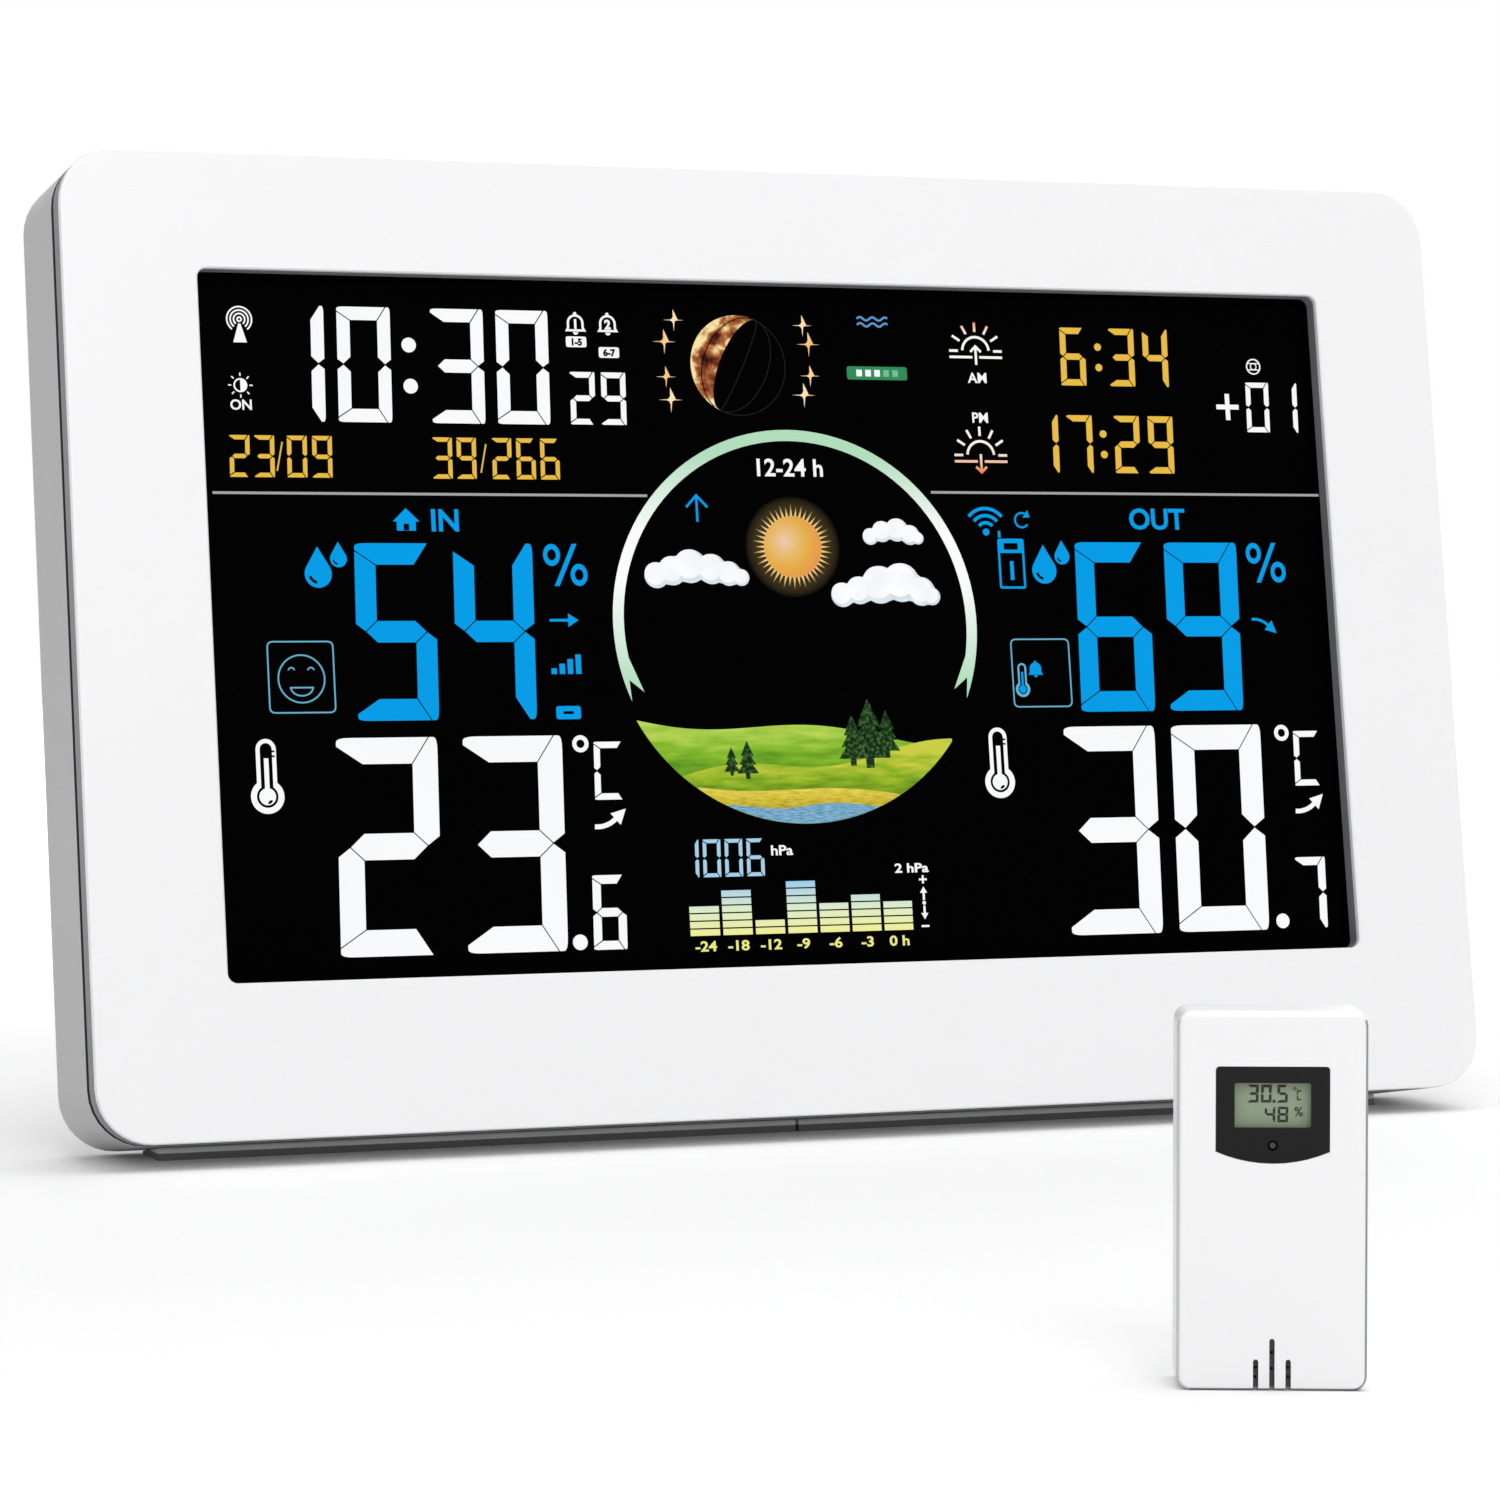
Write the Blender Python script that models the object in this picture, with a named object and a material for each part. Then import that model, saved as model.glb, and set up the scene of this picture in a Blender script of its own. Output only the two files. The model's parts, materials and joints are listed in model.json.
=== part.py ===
"""Home weather station: a console with a colour display on a fold-out stand, and its wireless sensor.

Runs alone: blender --background --python part.py. Metres, +Z up, the display faces -Y.
Console pieces are modelled in the console's own frame: X to the right, Y from the face to the back,
Z up the face from its lower edge. Sensor pieces have a frame of the same kind that stands on the table.
"""

import math

import bmesh
import bpy
from mathutils import Matrix, Vector

# Console form
FACE_W = 0.2600
FACE_H = 0.1677
CORNER_R = 0.0096
FACE_T = 0.0012
FACE_EDGE = 0.0005
PLATE_T = 0.0047
GROOVE_W = 0.0015
GROOVE_DEPTH = 0.0026
WALL = 0.0022
BACK_EDGE_R = 0.0012
LEAN = math.radians(8.63)
FLOOR_GAP = 0.0005

# Display window and the stack behind it
BORDER_SIDE = 0.0232
BORDER_TOP = 0.0202
BORDER_BOTTOM = 0.0262
WINDOW_R = 0.0017
WINDOW_DEPTH = 0.0038
LCD_LAP = 0.0030
LCD_T = 0.0022
GUIDE_T = 0.0030
TRAY_WALL = 0.0015
TRAY_FLOOR = 0.0015
STANDOFF = 0.0015
BOARD_T = 0.0016
BOARD_R = 0.0010

# Clearances: glued, resting and sliding pieces
BOND = 0.0001
SEAT = 0.0002
SLIDE = 0.0003

# Tongue of the front frame inside the rear case
TONGUE_T = 0.0018
TONGUE_L = 0.0058

# Case screws, their posts on the frame and their tubes in the case
POST_EDGE = 0.0112
POST_R = 0.0040
POST_L = 0.0093
TUBE_FLOOR = 0.0027
SCREW_R = 0.0013
SCREW_HEAD_R = 0.0025
SCREW_HEAD_H = 0.0018
SCREW_L = 0.0090

# Battery bay with three AAA cells side by side
CELL_R = 0.00525
CELL_L = 0.0445
CELL_NUB_R = 0.0027
CELL_NUB_L = 0.0010
CELL_EDGE = 0.0005
CELL_GAP = 0.0003
CONTACT_T = 0.0004
SPRING_L = 0.0021
SPRING_WIRE_R = 0.00025
SPRING_TURNS = 2.4
BAY_WALL = 0.0013
BAY_CLEAR = 0.0031
BAY_FROM_SIDE = 0.0440
BAY_FROM_BOTTOM = 0.0450
DOOR_T = 0.0018
DOOR_LAP = 0.0022
DOOR_R = 0.0030
DOOR_LEDGE = 0.0014
DOOR_LIP_T = 0.0008
DOOR_LIP_L = 0.0016
RIDGE_COUNT = 3
RIDGE_FROM_TOP = 0.0085
RIDGE_PITCH = 0.0022
RIDGE_H = 0.0004
RIDGE_W = 0.0008
RIDGE_L = 0.0140

# Fold-out stand
STAND_W = 0.0900
STAND_L = 0.0560
STAND_T = 0.0040
STAND_TIP_R = 0.0080
STAND_HEEL_R = 0.0010
STAND_POCKETS = 3
STAND_RIB = 0.0032
STAND_RIM = 0.0080
POCKET_R = 0.0030
POCKET_FLOOR = 0.0025
HINGE_FROM_BOTTOM = 0.0110
HINGE_FROM_BACK = 0.0026
TRUNNION_R = 0.0018
TRUNNION_L = 0.0024
RECESS_GAP = 0.0010
RECESS_WALL = 0.0020
SCOOP_R = 0.0090
PAD_T = 0.0015
PAD_W = 0.0720
PAD_L = 0.0070

# Rubber strips under the case
FOOT_FROM_SIDE = 0.0140
FOOT_GAP = 0.0006
FOOT_FRONT = 0.0155
FOOT_L = 0.0105

# Back buttons and the top bar
BUTTON_COUNT = 6
BUTTON_PITCH = 0.0250
BUTTON_W = 0.0140
BUTTON_H = 0.0060
BUTTON_R = 0.0017
BUTTON_PROUD = 0.0009
BUTTON_TRAVEL = 0.0008
BUTTON_FROM_TOP = 0.0297
FLANGE_LAP = 0.0015
FLANGE_T = 0.0012
STEM_R = 0.0020
SWITCH_W = 0.0060
SWITCH_H = 0.0032
BAR_W = 0.0640
BAR_D = 0.0076
BAR_R = 0.0024
BAR_PROUD = 0.0008
BAR_TRAVEL = 0.0010

# Main board and what stands on it
BOARD_FROM_SIDE = 0.0300
BOARD_FROM_TOP = 0.0217
BOARD_ABOVE_BAY = 0.0120
PIN_EDGE = 0.0050
PIN_R = 0.0010
PIN_STEP = 0.0015
CHIP_W = 0.0120
CHIP_H = 0.0016
CRYSTAL_W = 0.0060
CRYSTAL_H = 0.0022
BUZZER_R = 0.0100
BUZZER_H = 0.0040

# Back fittings
KEYHOLE_X = 0.0840
KEYHOLE_FROM_TOP = 0.0557
KEYHOLE_R = 0.0043
KEYHOLE_SLOT_W = 0.0042
KEYHOLE_RISE = 0.0080
VENT_COUNT = 7
VENT_PITCH = 0.0045
VENT_W = 0.0020
VENT_H = 0.0140
VENT_FROM_SIDE = 0.0420
VENT_FROM_BOTTOM = 0.0570
CLIMATE_W = 0.0134
CLIMATE_H = 0.0100
CLIMATE_T = 0.0010
CLIMATE_CHIP = 0.0030
JACK_FROM_SIDE = 0.0260
JACK_FROM_BOTTOM = 0.0260
JACK_R = 0.0039
JACK_BORE_R = 0.0031
JACK_BORE_L = 0.0090
JACK_PIN_R = 0.0010
JACK_W = 0.0090
JACK_H = 0.0110
JACK_L = 0.0110
SMALL_R = 0.0004
RIB_T = 0.0016
ROD_R = 0.0035
ROD_L = 0.0580
COIL_R = 0.0050
COIL_L = 0.0220
ROD_FROM_SIDE = 0.0280
ROD_FROM_TOP = 0.0122

# Wireless sensor
SENSOR_W = 0.02285
SENSOR_H = 0.0457
SENSOR_D = 0.0106
SENSOR_R = 0.0017
SENSOR_EDGE = 0.0006
SENSOR_WALL = 0.0011
SENSOR_FRONT_T = 0.0012
COVER_T = 0.0018
COVER_SKIN = 0.0010
COVER_LIP = 0.0010
COVER_LIP_T = 0.0008
LENS_W = 0.0135
LENS_H = 0.0101
LENS_Z = 0.0289
LENS_BULGE = 0.0014
LENS_R = 0.0004
LENS_T = 0.0005
GLASS_W = 0.00915
GLASS_H = 0.00535
GLASS_Z = 0.03175
GLASS_LAP = 0.0009
GLASS_T = 0.0012
GLASS_R = 0.0002
LED_R = 0.00053
LED_Z = 0.0296
SLOT_W = 0.00064
SLOT_DEPTH = 0.0007
SLOT_PITCH = 0.00195
SLOT_H = 0.0063
SIDE_SLOT_H = 0.0038
SLOT_HOLE_R = 0.00022
CARD_T = 0.0008
CARD_Z = 0.0040
CARD_H = 0.0378
CARD_GAP = 0.0005
CARD_R = 0.0008
CARD_LAP = 0.0010
COIN_R = 0.0100
COIN_T = 0.0032
COIN_Z = 0.0240
COIN_STEP = 0.0004
CLIP_W = 0.0050
CLIP_T = 0.0003
CARD_SCREW_X = 0.0070
CARD_SCREW_Z = 0.0085
CARD_SCREW_R = 0.0005
CARD_HEAD_R = 0.0010
CARD_HEAD_H = 0.0007
CARD_BOSS_R = 0.0016
CHANNEL_X = -0.0045
CHANNEL_Z = 0.0393
CHANNEL_TRAVEL = 0.0030
SWITCH_BODY_H = 0.0014
SWITCH_WELL = 0.0007
KNOB_W = 0.0012
KNOB_L = 0.0013
RESET_X = 0.0050
RESET_R = 0.0007
RESET_L = 0.0009
HANG_R = 0.0016
HANG_FROM_TOP = 0.0070

# Where the two stand on the table, so that the origin is the middle of the set's footprint
CONSOLE_Y = 0.088743
SENSOR_X = -0.0494
SENSOR_Y = -0.166847
SENSOR_TURN = math.radians(-24.0)

# Facets, and the steepest angle that is shaded as a round surface
CORNER_STEPS = 5
FACE_STEPS = 8
LENS_STEPS = 10
ROUND = 12
LEAST_R = 0.0002
SMOOTH_ANGLE = math.radians(40)

# Places worked out from the sizes above
HALF_W = FACE_W / 2
WINDOW_W = FACE_W - 2 * BORDER_SIDE
WINDOW_H = FACE_H - BORDER_TOP - BORDER_BOTTOM
WINDOW_MID = BORDER_BOTTOM + WINDOW_H / 2
CASE_Y = PLATE_T + GROOVE_W
LCD_W = WINDOW_W + 2 * LCD_LAP
LCD_H = WINDOW_H + 2 * LCD_LAP
GUIDE_Y = WINDOW_DEPTH + LCD_T + SEAT
TRAY_FLOOR_Y = GUIDE_Y + GUIDE_T + SEAT
TRAY_BACK_Y = TRAY_FLOOR_Y + TRAY_FLOOR
BOARD_Y = TRAY_BACK_Y + STANDOFF + SEAT
BOARD_BACK_Y = BOARD_Y + BOARD_T
BAY_FLOOR_Y = TRAY_BACK_Y + BAY_CLEAR + BAY_WALL
CELL_Y = BAY_FLOOR_Y + SEAT + CELL_R
DOOR_Y = CELL_Y + CELL_R + 2 * SEAT
CASE_D = DOOR_Y + DOOR_T
BACK_IN = CASE_D - WALL
TONGUE_Y = PLATE_T + TONGUE_L
POST_Y = PLATE_T + POST_L
TUBE_SEAT_Y = POST_Y + SEAT + TUBE_FLOOR
CELL_PITCH = 2 * CELL_R + CELL_GAP
BAY_L = CELL_L + SPRING_L + 2 * CONTACT_T + 3 * SEAT
BAY_H = 3 * CELL_PITCH + CELL_GAP
BAY_X = HALF_W - BAY_FROM_SIDE
BAY_Z = BAY_FROM_BOTTOM
DOOR_W = BAY_L + 2 * DOOR_LAP
DOOR_H = BAY_H + 2 * DOOR_LAP
HINGE_Y = CASE_D - HINGE_FROM_BACK
HINGE_Z = HINGE_FROM_BOTTOM
RECESS_W = STAND_W + 2 * RECESS_GAP
RECESS_Y = HINGE_Y - STAND_T / 2 - SLIDE
RECESS_LOW = HINGE_Z - STAND_T
RECESS_TOP = HINGE_Z + STAND_L + 2 * RECESS_GAP
BOARD_W = FACE_W - 2 * BOARD_FROM_SIDE
BOARD_TOP = FACE_H - BOARD_FROM_TOP
BOARD_LOW = BAY_Z + DOOR_H / 2 + BOARD_ABOVE_BAY
BUTTON_Z = FACE_H - BUTTON_FROM_TOP
BUTTON_XS = [(index - (BUTTON_COUNT - 1) / 2) * BUTTON_PITCH for index in range(BUTTON_COUNT)]
SWITCH_TOP_Y = BOARD_BACK_Y + SWITCH_H
BAR_Y = (TONGUE_Y + BACK_IN) / 2
BAR_SWITCH_Y = BOARD_BACK_Y + SWITCH_H / 3
ROD_X = -HALF_W + ROD_FROM_SIDE + ROD_L / 2
ROD_Y = BACK_IN - COIL_R - SLIDE
ROD_Z = FACE_H - ROD_FROM_TOP
VENT_X = -HALF_W + VENT_FROM_SIDE
VENT_Z = VENT_FROM_BOTTOM
JACK_X = -HALF_W + JACK_FROM_SIDE
JACK_Z = JACK_FROM_BOTTOM
FOOT_W = HALF_W - FOOT_FROM_SIDE - FOOT_GAP / 2
FOOT_X = (HALF_W - FOOT_FROM_SIDE + FOOT_GAP / 2) / 2
POSTS = [
    (side * (HALF_W - POST_EDGE), height)
    for height in (POST_EDGE, FACE_H - POST_EDGE)
    for side in (-1, 1)
]

# Lean of the console, and the stand's slope when it is open and its pad is on the table
SOLE_Y = CASE_D - BACK_EDGE_R
CONSOLE_Z = SOLE_Y * math.sin(LEAN) + BACK_EDGE_R * (1 - math.cos(LEAN)) + FLOOR_GAP
HINGE_HEIGHT = CONSOLE_Z - HINGE_Y * math.sin(LEAN) + HINGE_Z * math.cos(LEAN)
PAD_MID = STAND_L - PAD_L
PAD_DROP = STAND_T / 2 + PAD_T
STAND_SLOPE = math.asin(HINGE_HEIGHT / math.hypot(PAD_MID, PAD_DROP)) - math.atan2(PAD_DROP, PAD_MID)

# Sensor stack
LCD_SENSOR_Y = SENSOR_FRONT_T + SEAT
CARD_Y = LCD_SENSOR_Y + GLASS_T + SEAT
CARD_BACK_Y = CARD_Y + CARD_T
COIN_Y = CARD_BACK_Y + SLIDE
COVER_Y = SENSOR_D - COVER_T
BODY_BACK_Y = COVER_Y - SEAT


def fillet(corners, steps=CORNER_STEPS):
    """Outline through corners given as (x, z, radius), each rounded with an arc."""
    points = []
    for index, (x, z, radius) in enumerate(corners):
        here = Vector((x, z))
        back = (Vector(corners[index - 1][:2]) - here).normalized()
        ahead = (Vector(corners[(index + 1) % len(corners)][:2]) - here).normalized()
        half = back.angle(ahead) / 2
        centre = here + (back + ahead).normalized() * radius / math.sin(half)
        start = here + back * radius / math.tan(half) - centre
        end = here + ahead * radius / math.tan(half) - centre
        first = math.atan2(start.y, start.x)
        sweep = (math.atan2(end.y, end.x) - first + math.pi) % (2 * math.pi) - math.pi
        for step in range(steps + 1):
            angle = first + sweep * step / steps
            points.append((centre.x + radius * math.cos(angle), centre.y + radius * math.sin(angle)))
    return points


def rounded(width, height, radius, x=0.0, z=0.0, inset=0.0, steps=CORNER_STEPS):
    """Rounded rectangle about (x, z), drawn in by inset on every side."""
    right = width / 2 - inset
    top = height / 2 - inset
    corners = [(x - right, z - top), (x + right, z - top), (x + right, z + top), (x - right, z + top)]
    return fillet([(*corner, max(radius - inset, LEAST_R)) for corner in corners], steps)


def at(outline, y):
    """The outline as a loop of points at depth y."""
    return [Vector((x, y, z)) for x, z in outline]


class Shape:
    """A mesh under construction, made of closed solids."""

    def __init__(self):
        self.bm = bmesh.new()

    def loft(self, loops, ring=False):
        """Skin over loops of equal length: closed by end caps, or by joining the last loop to the first."""
        rows = [[self.bm.verts.new(point) for point in loop] for loop in loops]
        pairs = list(zip(rows, rows[1:]))
        if ring:
            pairs.append((rows[-1], rows[0]))
        for low, high in pairs:
            for index in range(len(low)):
                self.bm.faces.new((low[index - 1], low[index], high[index], high[index - 1]))
        if not ring:
            self.bm.faces.new(rows[0])
            self.bm.faces.new(rows[-1])
        return self

    def slab(self, outline, front, back):
        return self.loft([at(outline, front), at(outline, back)])

    def upright(self, outline, low, high):
        """Outline of (x, y) points, drawn up from low to high."""
        return self.loft([[Vector((x, y, z)) for x, y in outline] for z in (low, high)])

    def box(self, x, y, z):
        """Box between pairs of limits."""
        outline = [(x[0], z[0]), (x[1], z[0]), (x[1], z[1]), (x[0], z[1])]
        return self.slab(outline, *y)

    def lathe(self, start, axis, profile, sides=ROUND):
        """Solid of revolution from start along axis. The profile is (distance, radius) pairs."""
        axis = Vector(axis).normalized()
        across = axis.orthogonal().normalized()
        turned = [Matrix.Rotation(2 * math.pi * side / sides, 3, axis) @ across for side in range(sides)]
        loops = [
            [Vector(start) + axis * distance + arm * radius for arm in turned]
            for distance, radius in profile
        ]
        return self.loft(loops)

    def rod(self, start, axis, radius, length, sides=ROUND):
        return self.lathe(start, axis, [(0, radius), (length, radius)], sides)

    def prism(self, profile, width, x=0.0):
        """Side profile of (y, z) points, width wide about x."""
        ends = (x - width / 2, x + width / 2)
        return self.loft([[Vector((end, y, z)) for y, z in profile] for end in ends])

    def coil(self, start, axis, first, last, length, turns, wire, per_turn=8, sides=5):
        """Conical spring wound from radius first to last."""
        axis = Vector(axis).normalized()
        across = axis.orthogonal().normalized()
        loops = []
        count = int(turns * per_turn)
        for step in range(count + 1):
            share = step / count
            arm = Matrix.Rotation(2 * math.pi * turns * share, 3, axis) @ across
            centre = Vector(start) + axis * length * share + arm * (first + (last - first) * share)
            angles = [2 * math.pi * side / sides for side in range(sides)]
            loops.append([centre + (arm * math.cos(a) + axis * math.sin(a)) * wire for a in angles])
        return self.loft(loops)

    def to(self, mesh):
        bmesh.ops.recalc_face_normals(self.bm, faces=self.bm.faces)
        self.bm.to_mesh(mesh)
        self.bm.free()


def finish(name, colour, roughness=0.5, metallic=0.0):
    material = bpy.data.materials.new(name)
    material.use_nodes = True
    shader = material.node_tree.nodes["Principled BSDF"]
    shader.inputs["Base Color"].default_value = (*colour, 1.0)
    shader.inputs["Roughness"].default_value = roughness
    shader.inputs["Metallic"].default_value = metallic
    return material


def frame(name, location, rotation):
    """An empty that carries the pieces of one unit."""
    empty = bpy.data.objects.new(name, None)
    empty.location = location
    empty.rotation_euler = rotation
    bpy.context.collection.objects.link(empty)
    return empty


def piece(name, shape, material, parent, location=(0, 0, 0), rotation=(0, 0, 0)):
    mesh = bpy.data.meshes.new(name)
    shape.to(mesh)
    obj = bpy.data.objects.new(name, mesh)
    obj.parent = parent
    obj.location = location
    obj.rotation_euler = rotation
    if material:
        mesh.materials.append(material)
    bpy.context.collection.objects.link(obj)
    return obj


def change(target, operation, name, shape):
    """Boolean of the target with a hidden helper in the target's own frame."""
    helper = piece(f"{target.name}_{name}", shape, None, target)
    helper.hide_render = True
    helper.display_type = "WIRE"
    modifier = target.modifiers.new(name, "BOOLEAN")
    modifier.operation = operation
    modifier.object = helper
    modifier.solver = "EXACT"


def add(target, name, shape):
    change(target, "UNION", name, shape)


def cut(target, name, shape):
    change(target, "DIFFERENCE", name, shape)


def face_outline(inset=0.0):
    return rounded(FACE_W, FACE_H, CORNER_R, z=FACE_H / 2, inset=inset, steps=FACE_STEPS)


def window_outline(inset=0.0):
    return rounded(WINDOW_W, WINDOW_H, WINDOW_R, z=WINDOW_MID, inset=inset, steps=FACE_STEPS)


def lcd_outline(inset=0.0, steps=CORNER_STEPS):
    return rounded(LCD_W, LCD_H, WINDOW_R, z=WINDOW_MID, inset=inset, steps=steps)


def build_face_panel(console, material):
    loops = [
        at(face_outline(FACE_EDGE), 0),
        at(face_outline(FACE_EDGE * 0.3), FACE_EDGE * 0.3),
        at(face_outline(), FACE_EDGE),
        at(face_outline(), FACE_T),
        at(window_outline(), FACE_T),
        at(window_outline(), FACE_EDGE / 2),
        at(window_outline(-FACE_EDGE / 2), 0),
    ]
    piece("face_panel", Shape().loft(loops, ring=True), material, console)


def build_front_frame(console, material):
    front = FACE_T + BOND
    lip = WINDOW_DEPTH - BOND
    tongue = GROOVE_DEPTH + TONGUE_T
    loops = [
        at(face_outline(), front),
        at(face_outline(), PLATE_T),
        at(face_outline(GROOVE_DEPTH), PLATE_T),
        at(face_outline(GROOVE_DEPTH), TONGUE_Y),
        at(face_outline(tongue), TONGUE_Y),
        at(face_outline(tongue), PLATE_T),
        at(lcd_outline(-SEAT, FACE_STEPS), PLATE_T),
        at(lcd_outline(-SEAT, FACE_STEPS), lip),
        at(window_outline(), lip),
        at(window_outline(), front),
    ]
    obj = piece("front_frame", Shape().loft(loops, ring=True), material, console)
    posts = Shape()
    pilots = Shape()
    for x, z in POSTS:
        posts.rod((x, PLATE_T - 2 * SEAT, z), (0, 1, 0), POST_R, POST_Y - PLATE_T + 2 * SEAT)
        pilots.rod((x, TUBE_SEAT_Y - SCREW_L - SEAT, z), (0, 1, 0), SCREW_R + SEAT, SCREW_L)
    add(obj, "posts", posts)
    cut(obj, "pilots", pilots)


def build_display(console, glass, guide, tray_material):
    piece("lcd_panel", Shape().slab(lcd_outline(), WINDOW_DEPTH, WINDOW_DEPTH + LCD_T), glass, console)
    piece("backlight_plate", Shape().slab(lcd_outline(SEAT), GUIDE_Y, GUIDE_Y + GUIDE_T), guide, console)
    front = PLATE_T + SEAT
    loops = [
        at(lcd_outline(-SEAT), TRAY_FLOOR_Y),
        at(lcd_outline(-SEAT), front),
        at(lcd_outline(-SEAT - TRAY_WALL), front),
        at(lcd_outline(-SEAT - TRAY_WALL), TRAY_BACK_Y),
    ]
    tray = piece("lcd_carrier", Shape().loft(loops), tray_material, console)
    pins = Shape()
    for x, z in board_pins():
        shoulder = TRAY_FLOOR / 2 + STANDOFF
        steps = [(0, PIN_R + PIN_STEP), (shoulder, PIN_R + PIN_STEP), (shoulder, PIN_R)]
        steps.append((shoulder + 2 * BOARD_T, PIN_R))
        pins.lathe((x, TRAY_BACK_Y - TRAY_FLOOR / 2, z), (0, 1, 0), steps, ROUND)
    add(tray, "pins", pins)


def board_pins():
    reach = BOARD_W / 2 - PIN_EDGE
    return [(x, z) for x in (-reach, reach) for z in (BOARD_LOW + PIN_EDGE, BOARD_TOP - PIN_EDGE)]


def build_main_board(console, material):
    outline = rounded(BOARD_W, BOARD_TOP - BOARD_LOW, BOARD_R, z=(BOARD_TOP + BOARD_LOW) / 2)
    board = piece("main_board", Shape().slab(outline, BOARD_Y, BOARD_BACK_Y), material, console)
    foot = BOARD_BACK_Y - SEAT
    switch = (foot, SWITCH_TOP_Y - SWITCH_H / 3)
    half = SWITCH_W / 2
    parts = Shape()
    for x in BUTTON_XS:
        parts.box((x - half, x + half), switch, (BUTTON_Z - half, BUTTON_Z + half))
    parts.box((-half, half), switch, (BOARD_TOP - SWITCH_W, BOARD_TOP - SWITCH_W / 6))
    z = BOARD_LOW + (BOARD_TOP - BOARD_LOW) / 3
    parts.box((-CHIP_W, 0), (foot, BOARD_BACK_Y + CHIP_H), (z - CHIP_W / 2, z + CHIP_W / 2))
    x = (CRYSTAL_W, 2 * CRYSTAL_W)
    parts.box(x, (foot, BOARD_BACK_Y + CRYSTAL_H), (z - CRYSTAL_W, z + CRYSTAL_W / 2))
    add(board, "parts", parts)
    plungers = Shape()
    for x in BUTTON_XS:
        plungers.rod((x, switch[1] - SEAT, BUTTON_Z), (0, 1, 0), STEM_R * 0.8, SWITCH_H / 3 + SEAT, 10)
    start = (0, BAR_SWITCH_Y, BOARD_TOP - SWITCH_W / 6 - SEAT)
    plungers.rod(start, (0, 0, 1), STEM_R * 0.5, SWITCH_W / 3, 10)
    add(board, "plungers", plungers)
    holes = Shape()
    for x, z in board_pins():
        holes.rod((x, BOARD_Y - BOARD_T, z), (0, 1, 0), PIN_R + SEAT, 3 * BOARD_T)
    cut(board, "pin_holes", holes)


def build_buzzer(console, material):
    x = BOARD_W / 2 - 2 * BUZZER_R - PIN_EDGE
    z = BOARD_LOW + BUZZER_R + PIN_EDGE
    profile = [(0, BUZZER_R), (0.8 * BUZZER_H, BUZZER_R), (BUZZER_H, BUZZER_R * 0.92)]
    profile += [(BUZZER_H, BUZZER_R * 0.2), (0.6 * BUZZER_H, BUZZER_R * 0.2)]
    shape = Shape().lathe((x, BOARD_BACK_Y + SEAT, z), (0, 1, 0), profile, 20)
    piece("buzzer", shape, material, console)


def build_antenna(console, material):
    ends = (ROD_L - COIL_L) / 2
    profile = [(0, ROD_R), (ends, ROD_R), (ends, COIL_R)]
    profile += [(ends + COIL_L, COIL_R), (ends + COIL_L, ROD_R), (ROD_L, ROD_R)]
    shape = Shape().lathe((ROD_X - ROD_L / 2, ROD_Y, ROD_Z), (1, 0, 0), profile)
    piece("ferrite_antenna", shape, material, console)


def build_climate_board(console, material):
    back = BACK_IN - 2 * CLIMATE_T
    outline = rounded(CLIMATE_W, CLIMATE_H, SMALL_R, x=VENT_X, z=VENT_Z)
    board = piece("climate_board", Shape().slab(outline, back - CLIMATE_T, back), material, console)
    chip = rounded(CLIMATE_CHIP, CLIMATE_CHIP, SMALL_R, x=VENT_X, z=VENT_Z + CLIMATE_H / 5)
    add(board, "chip", Shape().slab(chip, back - SEAT, back + CLIMATE_T))


def build_rear_case(console, material):
    """Moulded back shell: stand recess, battery bay, screw tubes, vents, keyholes and button holes."""
    arc = [math.radians(angle) for angle in (0, 30, 60, 90)]
    outer = [at(face_outline(), CASE_Y)]
    for angle in arc:
        inset = BACK_EDGE_R * (1 - math.cos(angle))
        outer.append(at(face_outline(inset), SOLE_Y + BACK_EDGE_R * math.sin(angle)))
    inner = [
        at(face_outline(WALL + BACK_EDGE_R / 2), BACK_IN),
        at(face_outline(WALL), BACK_IN - BACK_EDGE_R / 2),
        at(face_outline(WALL), CASE_Y),
    ]
    case = piece("rear_case", Shape().loft(inner + outer), material, console)
    root = BACK_IN + WALL / 3
    add_stand_pocket(case, root)
    add_battery_bay(case, root)
    add_screw_tubes(case, root)
    add_ribs(case, root)
    cut_back(case)


def stand_outline(half, low, top):
    """Square at the hinge end, with round corners at the tip."""
    heel = [(-half, low, STAND_HEEL_R), (half, low, STAND_HEEL_R)]
    return fillet(heel + [(half, top, STAND_TIP_R), (-half, top, STAND_TIP_R)])


def add_stand_pocket(case, root):
    """Block that holds the stand's recess, its hinge cheeks and the finger scoop, then those hollows."""
    floor = RECESS_Y - RECESS_WALL
    half = RECESS_W / 2
    cheek = half + TRUNNION_L + RECESS_WALL
    low = RECESS_LOW - RECESS_WALL
    side = half + RECESS_WALL
    add(case, "recess_block", Shape().box((-side, side), (floor, root), (low, RECESS_TOP + RECESS_WALL)))
    hinge = (low - SEAT, HINGE_Z + STAND_T)
    add(case, "hinge_block", Shape().box((-cheek, cheek), (floor + SEAT, root), hinge))
    start = (0, floor - SEAT, RECESS_TOP)
    add(case, "scoop_block", Shape().rod(start, (0, 1, 0), SCOOP_R + RECESS_WALL, root - start[1], 24))
    outside = CASE_D + WALL
    outline = stand_outline(half, RECESS_LOW, RECESS_TOP)
    cut(case, "recess", Shape().slab(outline, RECESS_Y, outside))
    scoop = Shape().rod((0, RECESS_Y + SEAT, RECESS_TOP), (0, 1, 0), SCOOP_R, outside - RECESS_Y, 24)
    cut(case, "scoop", scoop)
    reach = 2 * (half + TRUNNION_L)
    sockets = Shape().rod((-reach / 2, HINGE_Y, HINGE_Z), (1, 0, 0), TRUNNION_R + SLIDE, reach)
    cut(case, "sockets", sockets)


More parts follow.
